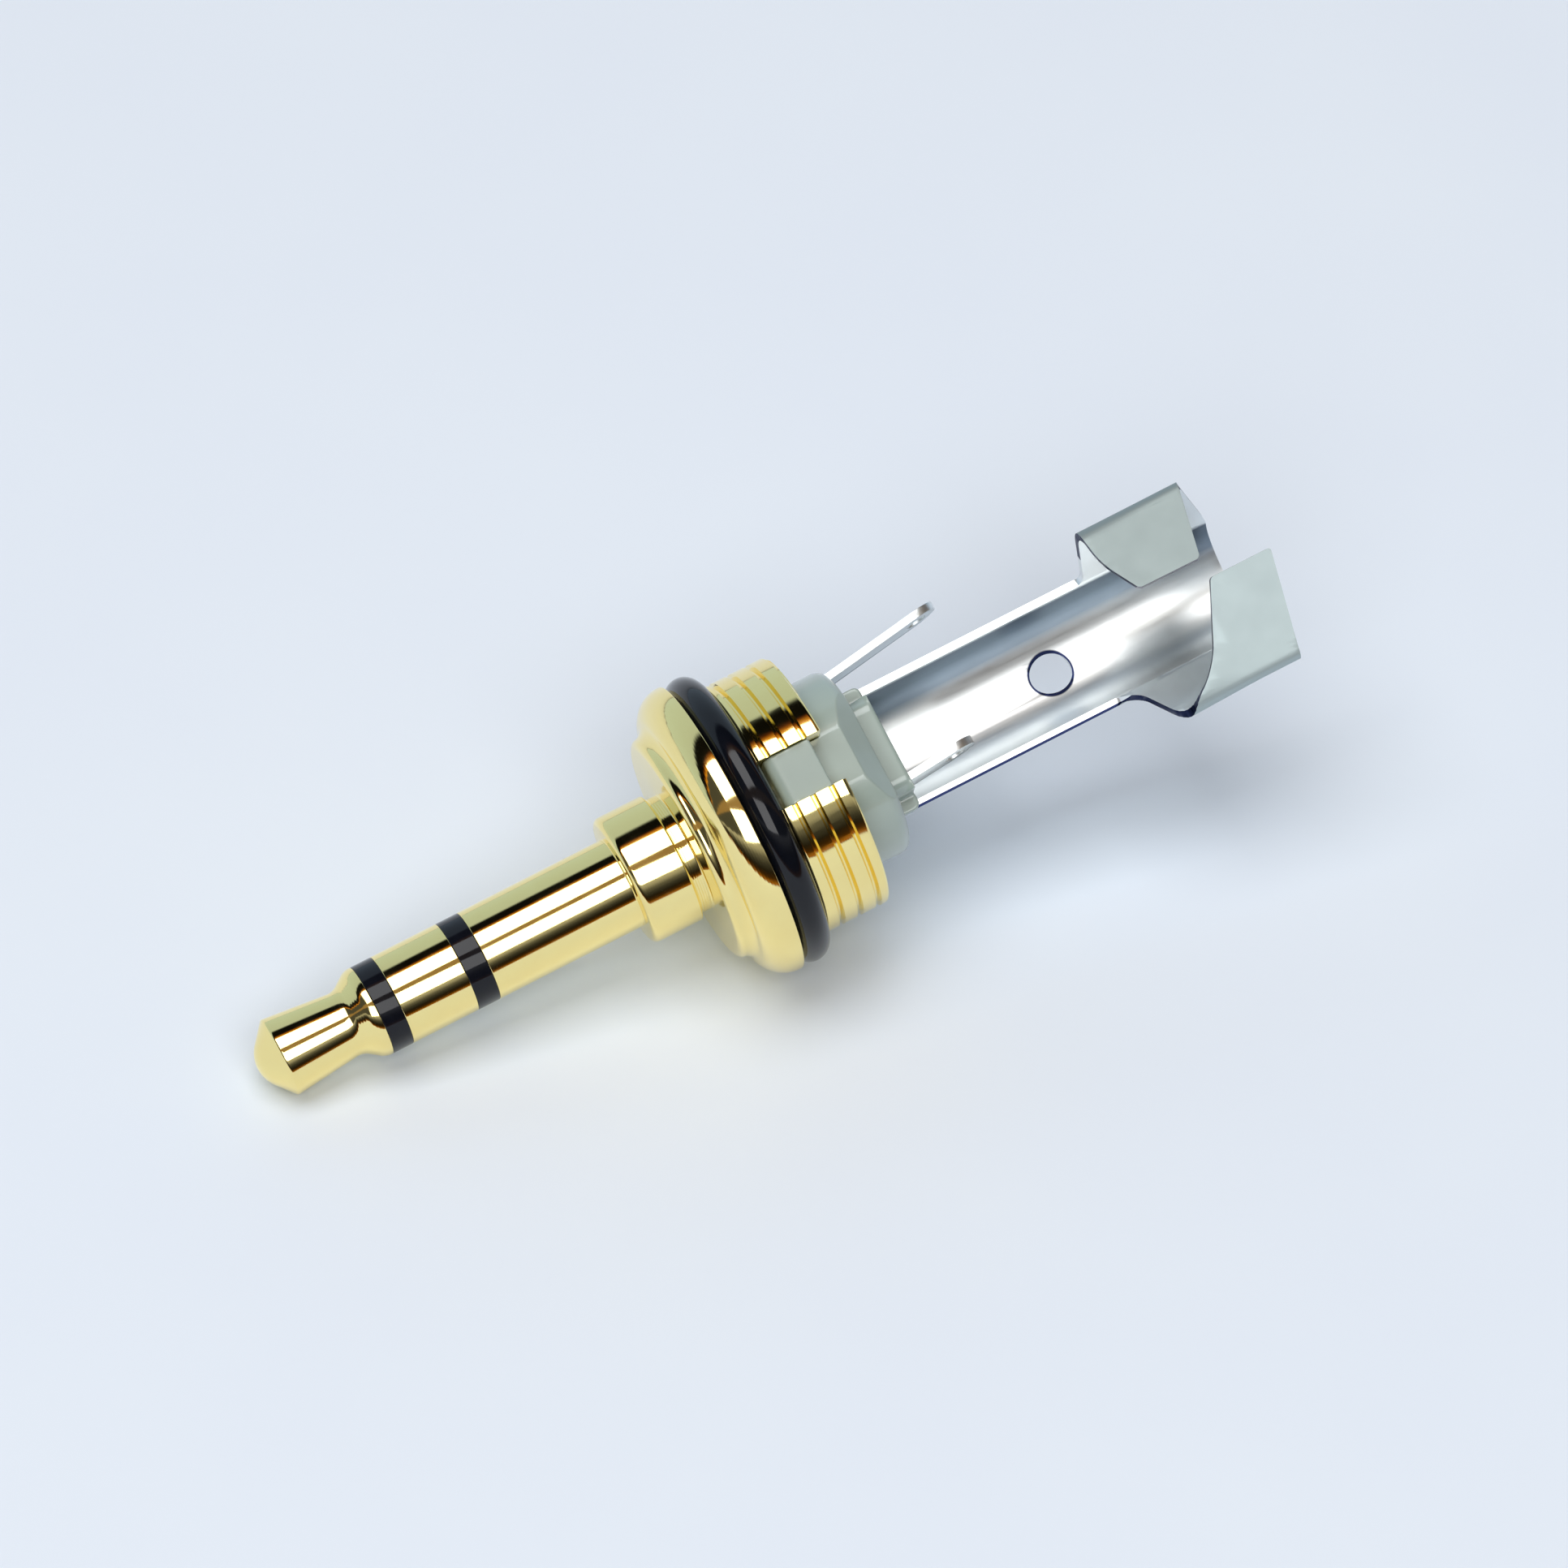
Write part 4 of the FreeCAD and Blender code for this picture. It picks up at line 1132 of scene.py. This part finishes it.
tip_lug = frame["nodes"]["tip_lug"]
tip_lug.data.materials.clear()
tip_lug.data.materials.append(bright_tin)
round_edges(tip_lug)

# The bench and the light ---------------------------------------------------------
# A plain bluish-white floor, a softbox overhead in two panes with a narrow gap, pale
# surroundings on the far side, and a dark room behind the camera that draws the black
# bands in the gold.

# Plain floor paper: pale, slightly blue, matt.
floor_paper = bpy.data.materials.new("matt_white_floor_paper")
floor_paper.use_nodes = True
tree = floor_paper.node_tree
tree.nodes.clear()
spot = add_node(tree, "ShaderNodeTexCoord").outputs["Object"]
cloudy = add_node(tree, "ShaderNodeTexNoise", {"Scale": 60.0, "Detail": 3.0}, {"Vector": spot})
tone = add_node(
    tree,
    "ShaderNodeMix",
    {"data_type": "RGBA", 6: linear("#E4ECF8"), 7: linear("#E9F1FA")},
    {0: cloudy.outputs["Fac"]},
)
matt = add_node(
    tree,
    "ShaderNodeBsdfPrincipled",
    {"Roughness": 0.9, "Specular IOR Level": 0.1},
    {"Base Color": tone.outputs[2]},
)
add_node(tree, "ShaderNodeOutputMaterial", links={"Surface": matt.outputs["BSDF"]})
bm = bmesh.new()
bmesh.ops.create_grid(bm, x_segments=2, y_segments=2, size=3)
floor = bpy.data.objects.new("floor", mesh_of(bm, "floor"))
bpy.context.scene.collection.objects.link(floor)
floor.data.materials.append(floor_paper)


pane_away = 0.9
pane_radiance = 3.6
pane_half_width = math.radians(24)


def add_pane(name, toward, half_depth):
    """A white softbox pane in one direction, facing the plug, with the same brightness
    all over it."""
    lamp = bpy.data.lights.new(name, "AREA")
    lamp.shape = "RECTANGLE"
    lamp.size = 2 * pane_away * math.tan(pane_half_width)
    lamp.size_y = 2 * pane_away * math.tan(half_depth)
    lamp.energy = pane_radiance * math.pi * lamp.size * lamp.size_y
    holder = bpy.data.objects.new(name, lamp)
    bpy.context.scene.collection.objects.link(holder)
    toward = Vector(toward).normalized()
    sideways = Vector((1, 0, 0)) - toward * toward.x
    sideways.normalize()
    upright = toward.cross(sideways)
    turn_to = Matrix((sideways, upright, toward)).transposed().to_4x4()
    holder.matrix_world = Matrix.Translation(toward * pane_away) @ turn_to


def overhead(lean):
    """The direction that leans so many degrees from straight up to the near side, and
    a little to the nose's end."""
    angle = math.radians(lean)
    return (-0.25, -math.sin(angle), math.cos(angle))


add_pane("softbox_top", overhead(1.2), math.radians(15.8))
add_pane("softbox_near", overhead(42), math.radians(13))

# What the gold sees of the room, by degrees from straight up to the far side: pale
# walls and floor, a dark band beyond the panes and another low on the near side, each
# with a warm edge, and a brown gap between the two panes.

room = bpy.data.worlds.new("room")
bpy.context.scene.world = room
room.use_nodes = True
tree = room.node_tree
tree.nodes.clear()
looking = add_node(tree, "ShaderNodeTexCoord").outputs["Generated"]
parts = add_node(tree, "ShaderNodeSeparateXYZ", links={"Vector": looking})
lean = add_node(
    tree,
    "ShaderNodeMath",
    {"operation": "ARCTAN2"},
    {0: parts.outputs["Y"], 1: parts.outputs["Z"]},
)
turns = add_node(
    tree,
    "ShaderNodeMapRange",
    {"From Min": -math.pi, "From Max": math.pi, "To Min": 0.0, "To Max": 1.0},
    {"Value": lean.outputs["Value"]},
)
shades = add_node(tree, "ShaderNodeValToRGB", links={"Fac": turns.outputs["Result"]})
ramp = shades.color_ramp
ramp.interpolation = "LINEAR"
stops = [
    (-180, "#D8E2EE"),
    (-104, "#C8D4E2"),
    (-91, "#B07018"),
    (-85, "#3A2408"),
    (-79, "#1E1A14"),
    (-72, "#3A3A3A"),
    (-66, "#606060"),
    (-60, "#A0A0A0"),
    (-56, "#B0B0B0"),
    (-54, "#4A4A4A"),
    (-29.5, "#4A4A4A"),
    (-28.5, "#967C58"),
    (-17.5, "#967C58"),
    (-16.5, "#4A4A4A"),
    (14, "#4A4A4A"),
    (15, "#E8A030"),
    (20, "#6A3406"),
    (22, "#0C0C0C"),
    (37.5, "#0C0C0C"),
    (42, "#B9CBDA"),
    (90, "#C2D8EA"),
    (180, "#D8E2EE"),
]
for angle, shade in stops:
    stop = ramp.elements.new((angle + 180) / 360)
    stop.color = linear(shade)
ramp.elements.remove(ramp.elements[0])
ramp.elements.remove(ramp.elements[-1])
glow = add_node(
    tree, "ShaderNodeBackground", {"Strength": 1.0}, {"Color": shades.outputs["Color"]}
)
add_node(tree, "ShaderNodeOutputWorld", links={"Surface": glow.outputs["Background"]})

# The camera stands where the photograph was taken from, far off with a long lens. It is
# placed along the plug's own axes, so the open side always faces it alike.
sight_right = plug_axes.to_3x3() @ Vector((0.88321, -0.46612, 0.05154))
sight_up = plug_axes.to_3x3() @ Vector((0.44980, 0.87316, 0.18791))
sight_back = sight_right.cross(sight_up)
aim = plug_place @ Vector((22.464, 1.095, -3.836))
camera_away = 0.703
camera_data = bpy.data.cameras.new("camera")
camera_data.lens = 440
camera_data.sensor_width = 36
camera_data.clip_end = 20
camera = bpy.data.objects.new("camera", camera_data)
bpy.context.scene.collection.objects.link(camera)
camera.matrix_world = Matrix.Translation(aim + sight_back * camera_away) @ Matrix(
    (sight_right, sight_up, sight_back)
).transposed().to_4x4()
bpy.context.scene.camera = camera
bpy.context.scene.view_settings.view_transform = "Standard"

bpy.context.view_layer.update()
